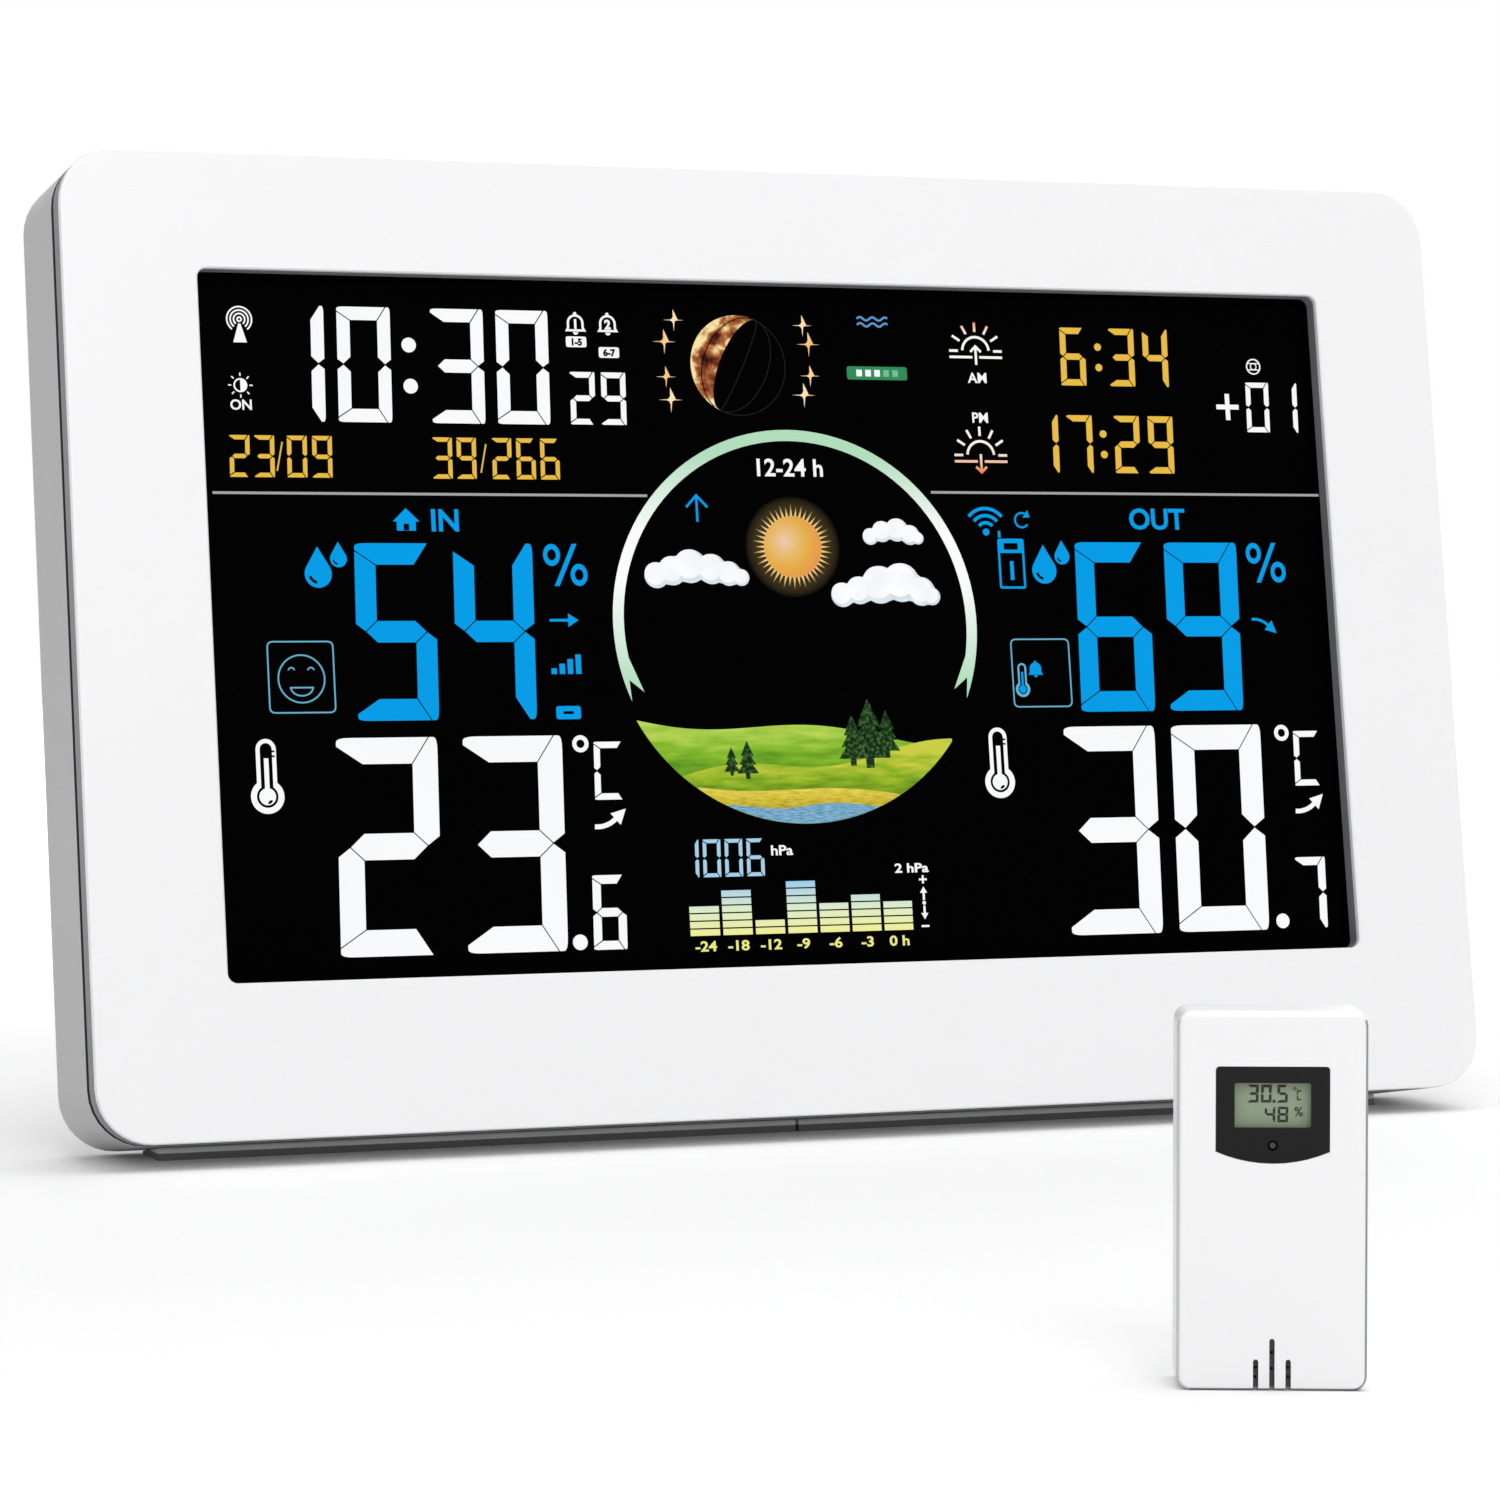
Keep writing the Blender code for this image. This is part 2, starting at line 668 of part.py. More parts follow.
def add_battery_bay(case, root):
    ledge = DOOR_Y - SEAT - DOOR_LEDGE
    half_l = BAY_L / 2
    half_h = BAY_H / 2
    x = (BAY_X - half_l - BAY_WALL, BAY_X + half_l + BAY_WALL)
    z = (BAY_Z - half_h - BAY_WALL, BAY_Z + half_h + BAY_WALL)
    add(case, "bay_block", Shape().box(x, (BAY_FLOOR_Y - BAY_WALL, root), z))
    rim = rounded(DOOR_W + 2 * BAY_WALL, DOOR_H + 2 * BAY_WALL, DOOR_R, x=BAY_X, z=BAY_Z)
    add(case, "ledge_block", Shape().slab(rim, ledge, root + SEAT))
    outside = CASE_D + WALL
    seat = rounded(DOOR_W, DOOR_H, DOOR_R, x=BAY_X, z=BAY_Z, inset=-SLIDE)
    cut(case, "door_seat", Shape().slab(seat, DOOR_Y - SEAT, outside))
    x = (BAY_X - half_l, BAY_X + half_l)
    cut(case, "bay", Shape().box(x, (BAY_FLOOR_Y, outside), (BAY_Z - half_h, BAY_Z + half_h)))
    notch = Shape().rod((BAY_X, DOOR_Y, BAY_Z + DOOR_H / 2), (0, 1, 0), 2 * DOOR_R, outside - DOOR_Y, 20)
    cut(case, "door_notch", notch)


def add_screw_tubes(case, root):
    tubes = Shape()
    bores = Shape()
    for x, z in POSTS:
        tubes.rod((x, POST_Y + SEAT, z), (0, 1, 0), POST_R, root - POST_Y - SEAT)
        head = SCREW_HEAD_R + SLIDE
        steps = [(0, SCREW_R + SLIDE), (TUBE_FLOOR + SLIDE, SCREW_R + SLIDE), (TUBE_FLOOR + SLIDE, head)]
        steps.append((CASE_D, head))
        bores.lathe((x, POST_Y + SEAT - SLIDE, z), (0, 1, 0), steps)
    add(case, "tubes", tubes)
    cut(case, "bores", bores)


def add_ribs(case, root):
    """Ribs that clamp the display tray, hold the climate board and the jack, and cradle the antenna."""
    press = TRAY_BACK_Y + SEAT
    ribs = Shape()

    def rib(x, front, low, high, thick=RIB_T):
        ribs.box((x - thick / 2, x + thick / 2), (front, root), (low, high))

    for side in (-1, 1):
        rib(side * (BOARD_W / 2 + 4 * RIB_T), press, BOARD_LOW, BOARD_LOW + 8 * RIB_T)
        x = side * (RECESS_W / 2 + TRUNNION_L + RECESS_WALL + 2 * RIB_T)
        rib(x, press, BORDER_BOTTOM - RIB_T, BORDER_BOTTOM + 4 * RIB_T)
        x = JACK_X + side * (JACK_W / 2 + SEAT + RIB_T / 2)
        rib(x, BACK_IN - JACK_L * 0.8, JACK_Z - JACK_H / 2, JACK_Z + JACK_H / 2)
        x = VENT_X + side * (CLIMATE_W / 2 + VENT_W / 20)
        rib(x, BACK_IN - 4 * CLIMATE_T, VENT_Z - CLIMATE_H / 2, VENT_Z + CLIMATE_H / 2, VENT_W * 2 / 3)
        x = ROD_X + side * (ROD_L / 2 - 2 * RIB_T)
        rib(x, ROD_Y - ROD_R / 3, ROD_Z - ROD_R - RIB_T, ROD_Z + ROD_R + RIB_T)
    add(case, "ribs", ribs)
    start = (ROD_X - ROD_L / 2 - RIB_T, ROD_Y, ROD_Z)
    cut(case, "antenna_groove", Shape().rod(start, (1, 0, 0), ROD_R + SEAT, ROD_L + 2 * RIB_T))
    back = BACK_IN - 2 * CLIMATE_T
    slot = Shape().box(
        (VENT_X - CLIMATE_W / 2 - SEAT, VENT_X + CLIMATE_W / 2 + SEAT),
        (back - CLIMATE_T - SEAT, back + SEAT),
        (VENT_Z - CLIMATE_H / 2 - SEAT, VENT_Z + CLIMATE_H),
    )
    cut(case, "climate_slot", slot)


def cut_back(case):
    inside = BACK_IN - WALL
    outside = CASE_D + WALL
    buttons = Shape()
    for x in BUTTON_XS:
        outline = rounded(BUTTON_W, BUTTON_H, BUTTON_R, x=x, z=BUTTON_Z, inset=-SLIDE)
        buttons.slab(outline, inside, outside)
    cut(case, "button_holes", buttons)
    vents = Shape()
    for index in range(VENT_COUNT):
        x = VENT_X + (index - (VENT_COUNT - 1) / 2) * VENT_PITCH
        vents.slab(rounded(VENT_W, VENT_H, VENT_W * 0.49, x=x, z=VENT_Z, steps=3), BACK_IN - SEAT, outside)
    cut(case, "vents", vents)
    z = FACE_H - KEYHOLE_FROM_TOP
    heads = Shape()
    necks = Shape()
    for x in (-KEYHOLE_X, KEYHOLE_X):
        heads.rod((x, inside, z), (0, 1, 0), KEYHOLE_R, outside - inside, 20)
        neck = rounded(KEYHOLE_SLOT_W, KEYHOLE_RISE, KEYHOLE_SLOT_W * 0.49, x=x, z=z + KEYHOLE_RISE / 2)
        necks.slab(neck, inside, outside)
    cut(case, "keyhole_heads", heads)
    cut(case, "keyhole_necks", necks)
    jack = Shape().rod((JACK_X, inside, JACK_Z), (0, 1, 0), JACK_R + SEAT, outside - inside, 20)
    cut(case, "jack_hole", jack)
    bar = rounded(BAR_W, BAR_D, BAR_R, z=BAR_Y, inset=-SLIDE)
    cut(case, "bar_slot", Shape().upright(bar, FACE_H - 2 * WALL, FACE_H + WALL))


def build_buttons(console, material, bar_material):
    """Each cap has a flange inside the wall that keeps it in, and a stem that reaches its switch."""
    seat = BACK_IN - SEAT
    stem_end = SWITCH_TOP_Y + BUTTON_TRAVEL + SLIDE
    for index, x in enumerate(BUTTON_XS):
        top = CASE_D + BUTTON_PROUD
        cap = [rounded(BUTTON_W, BUTTON_H, BUTTON_R, inset=inset, steps=3) for inset in (0, 0, FACE_EDGE)]
        wide = rounded(BUTTON_W, BUTTON_H, BUTTON_R, inset=-FLANGE_LAP, steps=3)
        depths = (seat, top - FACE_EDGE, top)
        loops = [at(wide, seat - FLANGE_T - CASE_D), at(wide, seat - CASE_D)]
        loops += [at(outline, depth - CASE_D) for outline, depth in zip(cap, depths)]
        obj = piece(f"button_{index + 1}", Shape().loft(loops), material, console, (x, CASE_D, BUTTON_Z))
        stem = Shape().rod((0, stem_end - CASE_D, 0), (0, 1, 0), STEM_R, seat - FLANGE_T / 2 - stem_end, 10)
        add(obj, "stem", stem)
    build_bar(console, bar_material)


def build_bar(console, material):
    """The top bar's own frame is turned so that its depth runs along the press."""
    seat = WALL + SEAT
    wide = rounded(BAR_W, BAR_D, BAR_R, inset=-FLANGE_LAP)
    cap = rounded(BAR_W, BAR_D, BAR_R)
    rim = rounded(BAR_W, BAR_D, BAR_R, inset=FACE_EDGE)
    loops = [at(wide, seat + FLANGE_T), at(wide, seat), at(cap, seat)]
    loops += [at(cap, FACE_EDGE - BAR_PROUD), at(rim, -BAR_PROUD)]
    turn = (math.radians(-90), 0, 0)
    obj = piece("snooze_bar", Shape().loft(loops), material, console, (0, BAR_Y, FACE_H), turn)
    plunger_top = BOARD_TOP + SWITCH_W / 6 - SEAT
    stem_end = FACE_H - plunger_top - BAR_TRAVEL - SLIDE
    drop = BAR_Y - BAR_SWITCH_Y
    outline = rounded(2 * STEM_R, BAR_D * 0.9, STEM_R * 0.4, z=drop / 2)
    add(obj, "stem", Shape().slab(outline, seat + FLANGE_T / 2, stem_end))


def build_jack(console, material):
    front = BACK_IN - JACK_L
    box = rounded(JACK_W, JACK_H, SMALL_R, x=JACK_X, z=JACK_Z)
    jack = piece("dc_jack", Shape().slab(box, front, BACK_IN - SEAT), material, console)
    root = front + JACK_L / 2
    add(jack, "snout", Shape().rod((JACK_X, root, JACK_Z), (0, 1, 0), JACK_R, CASE_D - SEAT - root, 20))
    floor = CASE_D - SEAT - JACK_BORE_L
    cut(jack, "bore", Shape().rod((JACK_X, floor, JACK_Z), (0, 1, 0), JACK_BORE_R, JACK_BORE_L + WALL, 20))
    pin = [(0, JACK_PIN_R), (JACK_BORE_L * 0.8, JACK_PIN_R), (JACK_BORE_L * 0.85, JACK_PIN_R * 0.6)]
    add(jack, "pin", Shape().lathe((JACK_X, floor - SEAT, JACK_Z), (0, 1, 0), pin, 10))


def build_screws(console, material):
    for index, (x, z) in enumerate(POSTS):
        seat = TUBE_SEAT_Y + SEAT / 2
        profile = [(0, SCREW_R * 0.5), (SCREW_R, SCREW_R), (SCREW_L - SLIDE, SCREW_R)]
        profile += [(SCREW_L - SLIDE, SCREW_HEAD_R), (SCREW_L + SCREW_HEAD_H * 0.6, SCREW_HEAD_R)]
        profile.append((SCREW_L + SCREW_HEAD_H, SCREW_HEAD_R * 0.7))
        shape = Shape().lathe((0, 0, 0), (0, 1, 0), profile, 14)
        obj = piece(f"case_screw_{index + 1}", shape, material, console, (x, seat - SCREW_L + SLIDE, z))
        arm = SCREW_HEAD_R * 0.6
        for turn, (wide, high) in enumerate(((arm, arm / 4), (arm / 4, arm))):
            slot = Shape().box((-wide, wide), (SCREW_L + SCREW_HEAD_H * 0.4, 2 * SCREW_L), (-high, high))
            cut(obj, f"cross_{turn}", slot)


def cell_rows():
    """Row height, and the side of the bay where the cell's positive end is, for each cell."""
    return [(BAY_Z + (row - 1) * CELL_PITCH, 1 if row != 1 else -1) for row in range(3)]


def build_batteries(console, can, metal):
    wall = BAY_L / 2
    for index, (z, side) in enumerate(cell_rows()):
        start = (BAY_X + side * (wall - SEAT - CONTACT_T - SEAT / 2), CELL_Y, z)
        rim = CELL_R - CELL_EDGE
        profile = [(0, CELL_NUB_R), (CELL_NUB_L, CELL_NUB_R), (CELL_NUB_L, rim)]
        profile += [(CELL_NUB_L + CELL_EDGE, CELL_R), (CELL_L - CELL_EDGE, CELL_R), (CELL_L, rim)]
        shape = Shape().lathe(start, (-side, 0, 0), profile, 20)
        piece(f"battery_cell_{index + 1}", shape, can, console)
    low, mid, high = cell_rows()
    build_contact("battery_contact_a", console, metal, -1, springs=[low], pads=[])
    build_contact("battery_contact_b", console, metal, 1, springs=[mid], pads=[low])
    build_contact("battery_contact_c", console, metal, -1, springs=[high], pads=[mid])
    build_contact("battery_contact_d", console, metal, 1, springs=[], pads=[high])


def build_contact(name, console, material, side, springs, pads):
    """Sheet contact against one end wall of the bay, with a spring for each negative end."""
    rows = [z for z, _ in springs + pads]
    reach = CELL_R * 0.8
    wall = BAY_X + side * (BAY_L / 2 - SEAT)
    faces = sorted((wall, wall - side * CONTACT_T))
    shape = Shape().box(faces, (CELL_Y - reach, CELL_Y + reach), (min(rows) - reach, max(rows) + reach))
    obj = piece(name, shape, material, console)
    for z, _ in springs:
        base = wall - side * (CONTACT_T + SPRING_WIRE_R / 2)
        length = SPRING_L - CONTACT_T - SPRING_WIRE_R
        ends = (CELL_R * 0.66, CELL_R * 0.42)
        coil = Shape().coil((base, CELL_Y, z), (-side, 0, 0), *ends, length, SPRING_TURNS, SPRING_WIRE_R)
        add(obj, "spring", coil)


def build_battery_door(console, material):
    cover = [rounded(DOOR_W, DOOR_H, DOOR_R, inset=inset) for inset in (0, 0, FACE_EDGE / 2)]
    depths = (0, DOOR_T - FACE_EDGE / 2, DOOR_T)
    loops = [at(outline, depth) for outline, depth in zip(cover, depths)]
    door = piece("battery_door", Shape().loft(loops), material, console, (BAY_X, DOOR_Y, BAY_Z))
    lips = Shape()
    for side in (-1, 1):
        z = sorted((side * (BAY_H / 2 - SLIDE), side * (BAY_H / 2 - SLIDE - DOOR_LIP_T)))
        lips.box((-BAY_L / 3, BAY_L / 3), (-DOOR_LIP_L, SEAT), z)
    add(door, "lips", lips)
    ridges = Shape()
    for step in range(RIDGE_COUNT):
        z = DOOR_H / 2 - RIDGE_FROM_TOP - step * RIDGE_PITCH
        face = (DOOR_T - SEAT, DOOR_T + RIDGE_H)
        ridges.box((-RIDGE_L / 2, RIDGE_L / 2), face, (z - RIDGE_W / 2, z + RIDGE_W / 2))
    add(door, "ridges", ridges)


def build_stand(console, material, rubber):
    """Flap on two trunnions. Its square heel meets the recess floor when open, so it goes no further."""
    place = ((0, HINGE_Y, HINGE_Z), (LEAN - STAND_SLOPE, 0, 0))
    half = STAND_W / 2
    thick = STAND_T / 2
    heel = [(-thick, -thick), (STAND_L + thick, -thick), (STAND_L + thick, thick)]
    for angle in (90, 112.5, 135, 157.5, 180):
        heel.append((thick * math.cos(math.radians(angle)), thick * math.sin(math.radians(angle))))
    stand = piece("stand", Shape().prism(heel, 2 * STAND_W), material, console, *place)
    plan = stand_outline(half, -2 * STAND_T, STAND_L)
    change(stand, "INTERSECT", "plan", Shape().upright(plan, -STAND_T, STAND_T))
    reach = STAND_W + 2 * (RECESS_GAP + TRUNNION_L - SLIDE)
    add(stand, "trunnions", Shape().rod((-reach / 2, 0, 0), (1, 0, 0), TRUNNION_R, reach))
    pockets = Shape()
    width = (STAND_W - (STAND_POCKETS + 1) * STAND_RIB) / STAND_POCKETS
    for index in range(STAND_POCKETS):
        x = -half + STAND_RIB + width / 2 + index * (width + STAND_RIB)
        hollow = rounded(width, STAND_L - 2 * STAND_RIM, POCKET_R, x=x, z=STAND_L / 2)
        pockets.upright(hollow, POCKET_FLOOR - thick, STAND_T)
    cut(stand, "pockets", pockets)
    build_stand_foot(console, rubber, place)


def build_stand_foot(console, material, place):
    """Rubber strip whose underside lies flat on the table when the stand is open."""
    slope = STAND_SLOPE
    ends = (PAD_MID - PAD_L / 2, PAD_MID + PAD_L / 2)
    top = -STAND_T / 2 - BOND
    soles = [(s * math.sin(slope) - HINGE_HEIGHT) / math.cos(slope) for s in ends]
    profile = [(ends[0], top), (ends[1], top), (ends[1], soles[1]), (ends[0], soles[0])]
    piece("stand_foot", Shape().prism(profile, PAD_W), material, console, *place)


def build_base_feet(console, material):
    """Rubber wedge strips under the case, flat on the table while the console leans."""
    ends = (FOOT_FRONT, FOOT_FRONT + FOOT_L)
    soles = [(y * math.sin(LEAN) - CONSOLE_Z) / math.cos(LEAN) for y in ends]
    profile = [(ends[0], -BOND), (ends[1], -BOND), (ends[1], soles[1]), (ends[0], soles[0])]
    for name, side in (("base_foot_left", -1), ("base_foot_right", 1)):
        piece(name, Shape().prism(profile, FOOT_W, side * FOOT_X), material, console)


def sensor_outline(inset=0.0):
    return rounded(SENSOR_W, SENSOR_H, SENSOR_R, z=SENSOR_H / 2, inset=inset, steps=4)


def lens_outline(grow=0.0):
    """The black plate: straight sides and a lower edge that bulges down in an arc."""
    half = LENS_W / 2 + grow
    top = LENS_Z + LENS_H + grow - LENS_R
    bow = ((LENS_W / 2) ** 2 + LENS_BULGE**2) / (2 * LENS_BULGE)
    middle = LENS_Z - LENS_BULGE + bow
    sweep = math.asin(half / (bow + grow))
    angles = [sweep * (2 * step / LENS_STEPS - 1) for step in range(LENS_STEPS + 1)]
    outline = [((bow + grow) * math.sin(a), middle - (bow + grow) * math.cos(a)) for a in angles]
    for x, first in ((half - LENS_R, 0), (LENS_R - half, 90)):
        angles = [math.radians(first + turn) for turn in (0, 45, 90)]
        outline += [(x + LENS_R * math.cos(a), top + LENS_R * math.sin(a)) for a in angles]
    return outline


def glass_outline(grow=0.0):
    return rounded(GLASS_W, GLASS_H, GLASS_R, z=GLASS_Z + GLASS_H / 2, inset=-grow, steps=2)


def build_sensor_body(sensor, material):
    loops = [
        at(sensor_outline(SENSOR_EDGE), 0),
        at(sensor_outline(SENSOR_EDGE * 0.3), SENSOR_EDGE * 0.3),
        at(sensor_outline(), SENSOR_EDGE),
        at(sensor_outline(), BODY_BACK_Y),
        at(sensor_outline(SENSOR_WALL), BODY_BACK_Y),
        at(sensor_outline(SENSOR_WALL), SENSOR_FRONT_T),
    ]
    body = piece("sensor_body", Shape().loft(loops), material, sensor)
    bosses = Shape()
    pilots = Shape()
    for side in (-1, 1):
        boss = (side * CARD_SCREW_X, SENSOR_FRONT_T - SEAT, CARD_SCREW_Z)
        bosses.rod(boss, (0, 1, 0), CARD_BOSS_R, CARD_Y - SENSOR_FRONT_T, 12)
        pilots.rod((boss[0], SENSOR_FRONT_T, boss[2]), (0, 1, 0), CARD_SCREW_R + SEAT / 2, CARD_Y, 10)
    ledge_z = (CARD_Z + CARD_H - CARD_LAP, SENSOR_H - SENSOR_WALL + SEAT)
    bosses.box((-SENSOR_W / 4, SENSOR_W / 4), (SENSOR_FRONT_T - SEAT, CARD_Y - SEAT), ledge_z)
    add(body, "bosses", bosses)
    cut(body, "pilots", pilots)
    cut(body, "lens_pocket", Shape().slab(lens_outline(SEAT / 2), -LENS_T, LENS_T + SEAT / 2))
    sight = Shape().slab(glass_outline(SEAT), 0, 2 * SENSOR_FRONT_T)
    sight.rod((0, 0, LED_Z), (0, 1, 0), LED_R + SEAT, 2 * SENSOR_FRONT_T, 12)
    cut(body, "sight", sight)
    slots = Shape()
    holes = Shape()
    for x, height in ((-SLOT_PITCH, SIDE_SLOT_H), (0, SLOT_H), (SLOT_PITCH, SIDE_SLOT_H)):
        groove = rounded(SLOT_W, 2 * height, SLOT_W * 0.49, x=x, steps=3)
        slots.slab(groove, -SLOT_DEPTH, SLOT_DEPTH)
        for share in (0.42, 0.72):
            holes.rod((x, 0, height * share), (0, 1, 0), SLOT_HOLE_R, 2 * SENSOR_FRONT_T, 8)
    cut(body, "slots", slots)
    cut(body, "slot_holes", holes)


def build_sensor_window(sensor, black, glass, lamp):
    lens = piece("sensor_lens", Shape().slab(lens_outline(), 0, LENS_T), black, sensor)
    sight = Shape().slab(glass_outline(), -LENS_T, 2 * LENS_T)
    sight.rod((0, -LENS_T, LED_Z), (0, 1, 0), LED_R + SEAT / 2, 3 * LENS_T, 12)
    cut(lens, "sight", sight)
    outline = glass_outline(GLASS_LAP)
    piece("sensor_lcd", Shape().slab(outline, LCD_SENSOR_Y, LCD_SENSOR_Y + GLASS_T), glass, sensor)
    start = SEAT / 2
    profile = [(0, LED_R * 0.7), (LED_R * 0.4, LED_R), (CARD_Y - SEAT - start, LED_R)]
    piece("sensor_led", Shape().lathe((0, start, LED_Z), (0, 1, 0), profile, 12), lamp, sensor)


def build_sensor_board(sensor, green, black):
    inner = SENSOR_W - 2 * SENSOR_WALL - 2 * CARD_GAP
    outline = rounded(inner, CARD_H, CARD_R, z=CARD_Z + CARD_H / 2, steps=3)
    board = piece("sensor_board", Shape().slab(outline, CARD_Y, CARD_BACK_Y), green, sensor)
    rail = (CHANNEL_TRAVEL + KNOB_W) / 2 + 2 * SEAT
    top = CARD_BACK_Y + SWITCH_BODY_H
    body = (CARD_BACK_Y - SEAT, top)
    parts = Shape()
    x = (CHANNEL_X - rail - KNOB_W / 2, CHANNEL_X + rail + KNOB_W / 2)
    parts.box(x, body, (CHANNEL_Z - KNOB_W, CHANNEL_Z + KNOB_W))
    reach = 2 * RESET_R
    parts.box((RESET_X - reach, RESET_X + reach), body, (CHANNEL_Z - reach, CHANNEL_Z + reach))
    add(board, "parts", parts)
    floor = top - SWITCH_WELL
    wells = Shape()
    half = KNOB_W / 2 + SEAT / 2
    well = (floor, top + SWITCH_WELL)
    wells.box((CHANNEL_X - rail, CHANNEL_X + rail), well, (CHANNEL_Z - half, CHANNEL_Z + half))
    wells.rod((RESET_X, floor, CHANNEL_Z), (0, 1, 0), RESET_R + SEAT / 2, 2 * SWITCH_WELL)
    for side in (-1, 1):
        start = (side * CARD_SCREW_X, 0, CARD_SCREW_Z)
        wells.rod(start, (0, 1, 0), CARD_SCREW_R + SEAT / 2, 2 * CARD_BACK_Y, 10)
    cut(board, "wells", wells)
    half = KNOB_W / 2
    first = CHANNEL_X - CHANNEL_TRAVEL / 2
    knob = Shape().box((-half, half), (0, KNOB_L), (-half, half))
    piece("sensor_switch_knob", knob, black, sensor, (first, floor + SEAT, CHANNEL_Z))
    cap = Shape().rod((0, 0, 0), (0, 1, 0), RESET_R, RESET_L)
    piece("sensor_reset_button", cap, black, sensor, (RESET_X, floor + 2 * SEAT, CHANNEL_Z))


def build_sensor_screws(sensor, steel):
    tip = SENSOR_FRONT_T + SEAT
    length = CARD_BACK_Y + SEAT / 2 - tip
    profile = [(0, CARD_SCREW_R * 0.6), (CARD_SCREW_R, CARD_SCREW_R), (length, CARD_SCREW_R)]
    profile += [(length, CARD_HEAD_R), (length + CARD_HEAD_H, CARD_HEAD_R * 0.8)]
    for index, side in enumerate((-1, 1)):
        shape = Shape().lathe((side * CARD_SCREW_X, tip, CARD_SCREW_Z), (0, 1, 0), profile)
        piece(f"sensor_screw_{index + 1}", shape, steel, sensor)


def build_sensor_cell(sensor, steel):
    rim = COIN_R - COIN_STEP
    profile = [(0, rim - 2 * COIN_STEP), (COIN_STEP, rim - COIN_STEP), (2 * COIN_STEP, COIN_R)]
    profile += [(COIN_T - COIN_STEP, COIN_R), (COIN_T, rim)]
    shape = Shape().lathe((0, COIN_Y, COIN_Z), (0, 1, 0), profile, 28)
    piece("sensor_cell", shape, steel, sensor)
    reach = COIN_R + SEAT
    over = COIN_Y + COIN_T + SEAT
    foot = CARD_BACK_Y + SEAT / 2
    outer = reach + CLIP_T
    profile = [(foot, -outer), (over + CLIP_T, -outer), (over + CLIP_T, outer), (foot, outer)]
    profile += [(foot, reach), (over, reach), (over, -reach), (foot, -reach)]
    clip = Shape().prism([(y, COIN_Z + z) for y, z in profile], CLIP_W)
    piece("sensor_cell_clip", clip, steel, sensor)


def build_sensor_cover(sensor, material):
    """Back cover, pulled straight off to reach the cell. It has a lip, a pry slot and a hanging hole."""
    lip = SENSOR_WALL + SEAT
    loops = [
        at(sensor_outline(lip + COVER_LIP_T), COVER_T - COVER_SKIN),
        at(sensor_outline(lip + COVER_LIP_T), -COVER_LIP),
        at(sensor_outline(lip), -COVER_LIP),
        at(sensor_outline(lip), 0),
        at(sensor_outline(), 0),
        at(sensor_outline(), COVER_T - SENSOR_EDGE),
        at(sensor_outline(SENSOR_EDGE), COVER_T),
    ]
    cover = piece("sensor_back_cover", Shape().loft(loops), material, sensor, (0, COVER_Y, 0))
    hang = SENSOR_H - HANG_FROM_TOP
    cut(cover, "hang_hole", Shape().rod((0, 0, hang), (0, 1, 0), HANG_R, 2 * COVER_T))
    neck = rounded(HANG_R, 2 * HANG_R, HANG_R * 0.49, z=hang + HANG_R)
    cut(cover, "hang_neck", Shape().slab(neck, 0, 2 * COVER_T))
    pry = Shape().box((-SENSOR_W / 6, SENSOR_W / 6), (-SEAT, COVER_SKIN / 2), (-SENSOR_EDGE, SENSOR_EDGE))
    cut(cover, "pry_slot", pry)


def shade_round_pieces():
    """Smooth shading for the turned and lofted pieces that no cut has changed."""
    for obj in bpy.data.objects:
        if obj.type == "MESH" and not obj.modifiers and not obj.hide_render:
            obj.data.shade_smooth()
            obj.data.set_sharp_from_angle(angle=SMOOTH_ANGLE)


def main():
    for old in list(bpy.data.objects):
        bpy.data.objects.remove(old, do_unlink=True)
    white = finish("white_gloss", (0.86, 0.86, 0.87), 0.30)
    grey = finish("light_grey_plastic", (0.62, 0.62, 0.63), 0.45)
    black_glass = finish("display_glass", (0.004, 0.004, 0.004), 0.15)
    clear = finish("light_guide", (0.80, 0.82, 0.84), 0.20)
    cream = finish("tray_plastic", (0.75, 0.75, 0.72), 0.50)
    green = finish("circuit_board", (0.02, 0.16, 0.07), 0.45)
    black = finish("black_plastic", (0.02, 0.02, 0.02), 0.40)
    rubber = finish("rubber", (0.05, 0.05, 0.05), 0.80)
    steel = finish("steel", (0.60, 0.60, 0.60), 0.30, 1.0)
    ferrite = finish("ferrite", (0.10, 0.09, 0.08), 0.60)
    can = finish("cell_can", (0.30, 0.31, 0.33), 0.35)
    lamp = finish("lamp", (0.08, 0.08, 0.08), 0.25)
    sensor_glass = finish("sensor_display", (0.25, 0.31, 0.22), 0.25)

    console = frame("console", (0, CONSOLE_Y, CONSOLE_Z), (-LEAN, 0, 0))
    build_face_panel(console, white)
    build_front_frame(console, grey)
    build_display(console, black_glass, clear, cream)
    build_main_board(console, green)
    build_buzzer(console, black)
    build_antenna(console, ferrite)
    build_climate_board(console, green)
    build_rear_case(console, grey)
    build_buttons(console, grey, white)
    build_jack(console, black)
    build_screws(console, steel)
    build_batteries(console, can, steel)
    build_battery_door(console, grey)
    build_stand(console, grey, rubber)
    build_base_feet(console, rubber)

    sensor = frame("sensor", (SENSOR_X, SENSOR_Y, 0), (0, 0, SENSOR_TURN))
    build_sensor_body(sensor, white)
    build_sensor_window(sensor, black, sensor_glass, lamp)
    build_sensor_board(sensor, green, black)
    build_sensor_screws(sensor, steel)
    build_sensor_cell(sensor, steel)
    build_sensor_cover(sensor, white)
    shade_round_pieces()


main()
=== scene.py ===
"""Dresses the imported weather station: its finishes, the two displays' art and the stage.

Laid out as an add-on and run as a script. Lengths are metres, except that art on a display is drawn in
millimetres from the lower left corner of its window. Art is cut as thin solids on the display's front.
"""

import json
import math
from collections import namedtuple

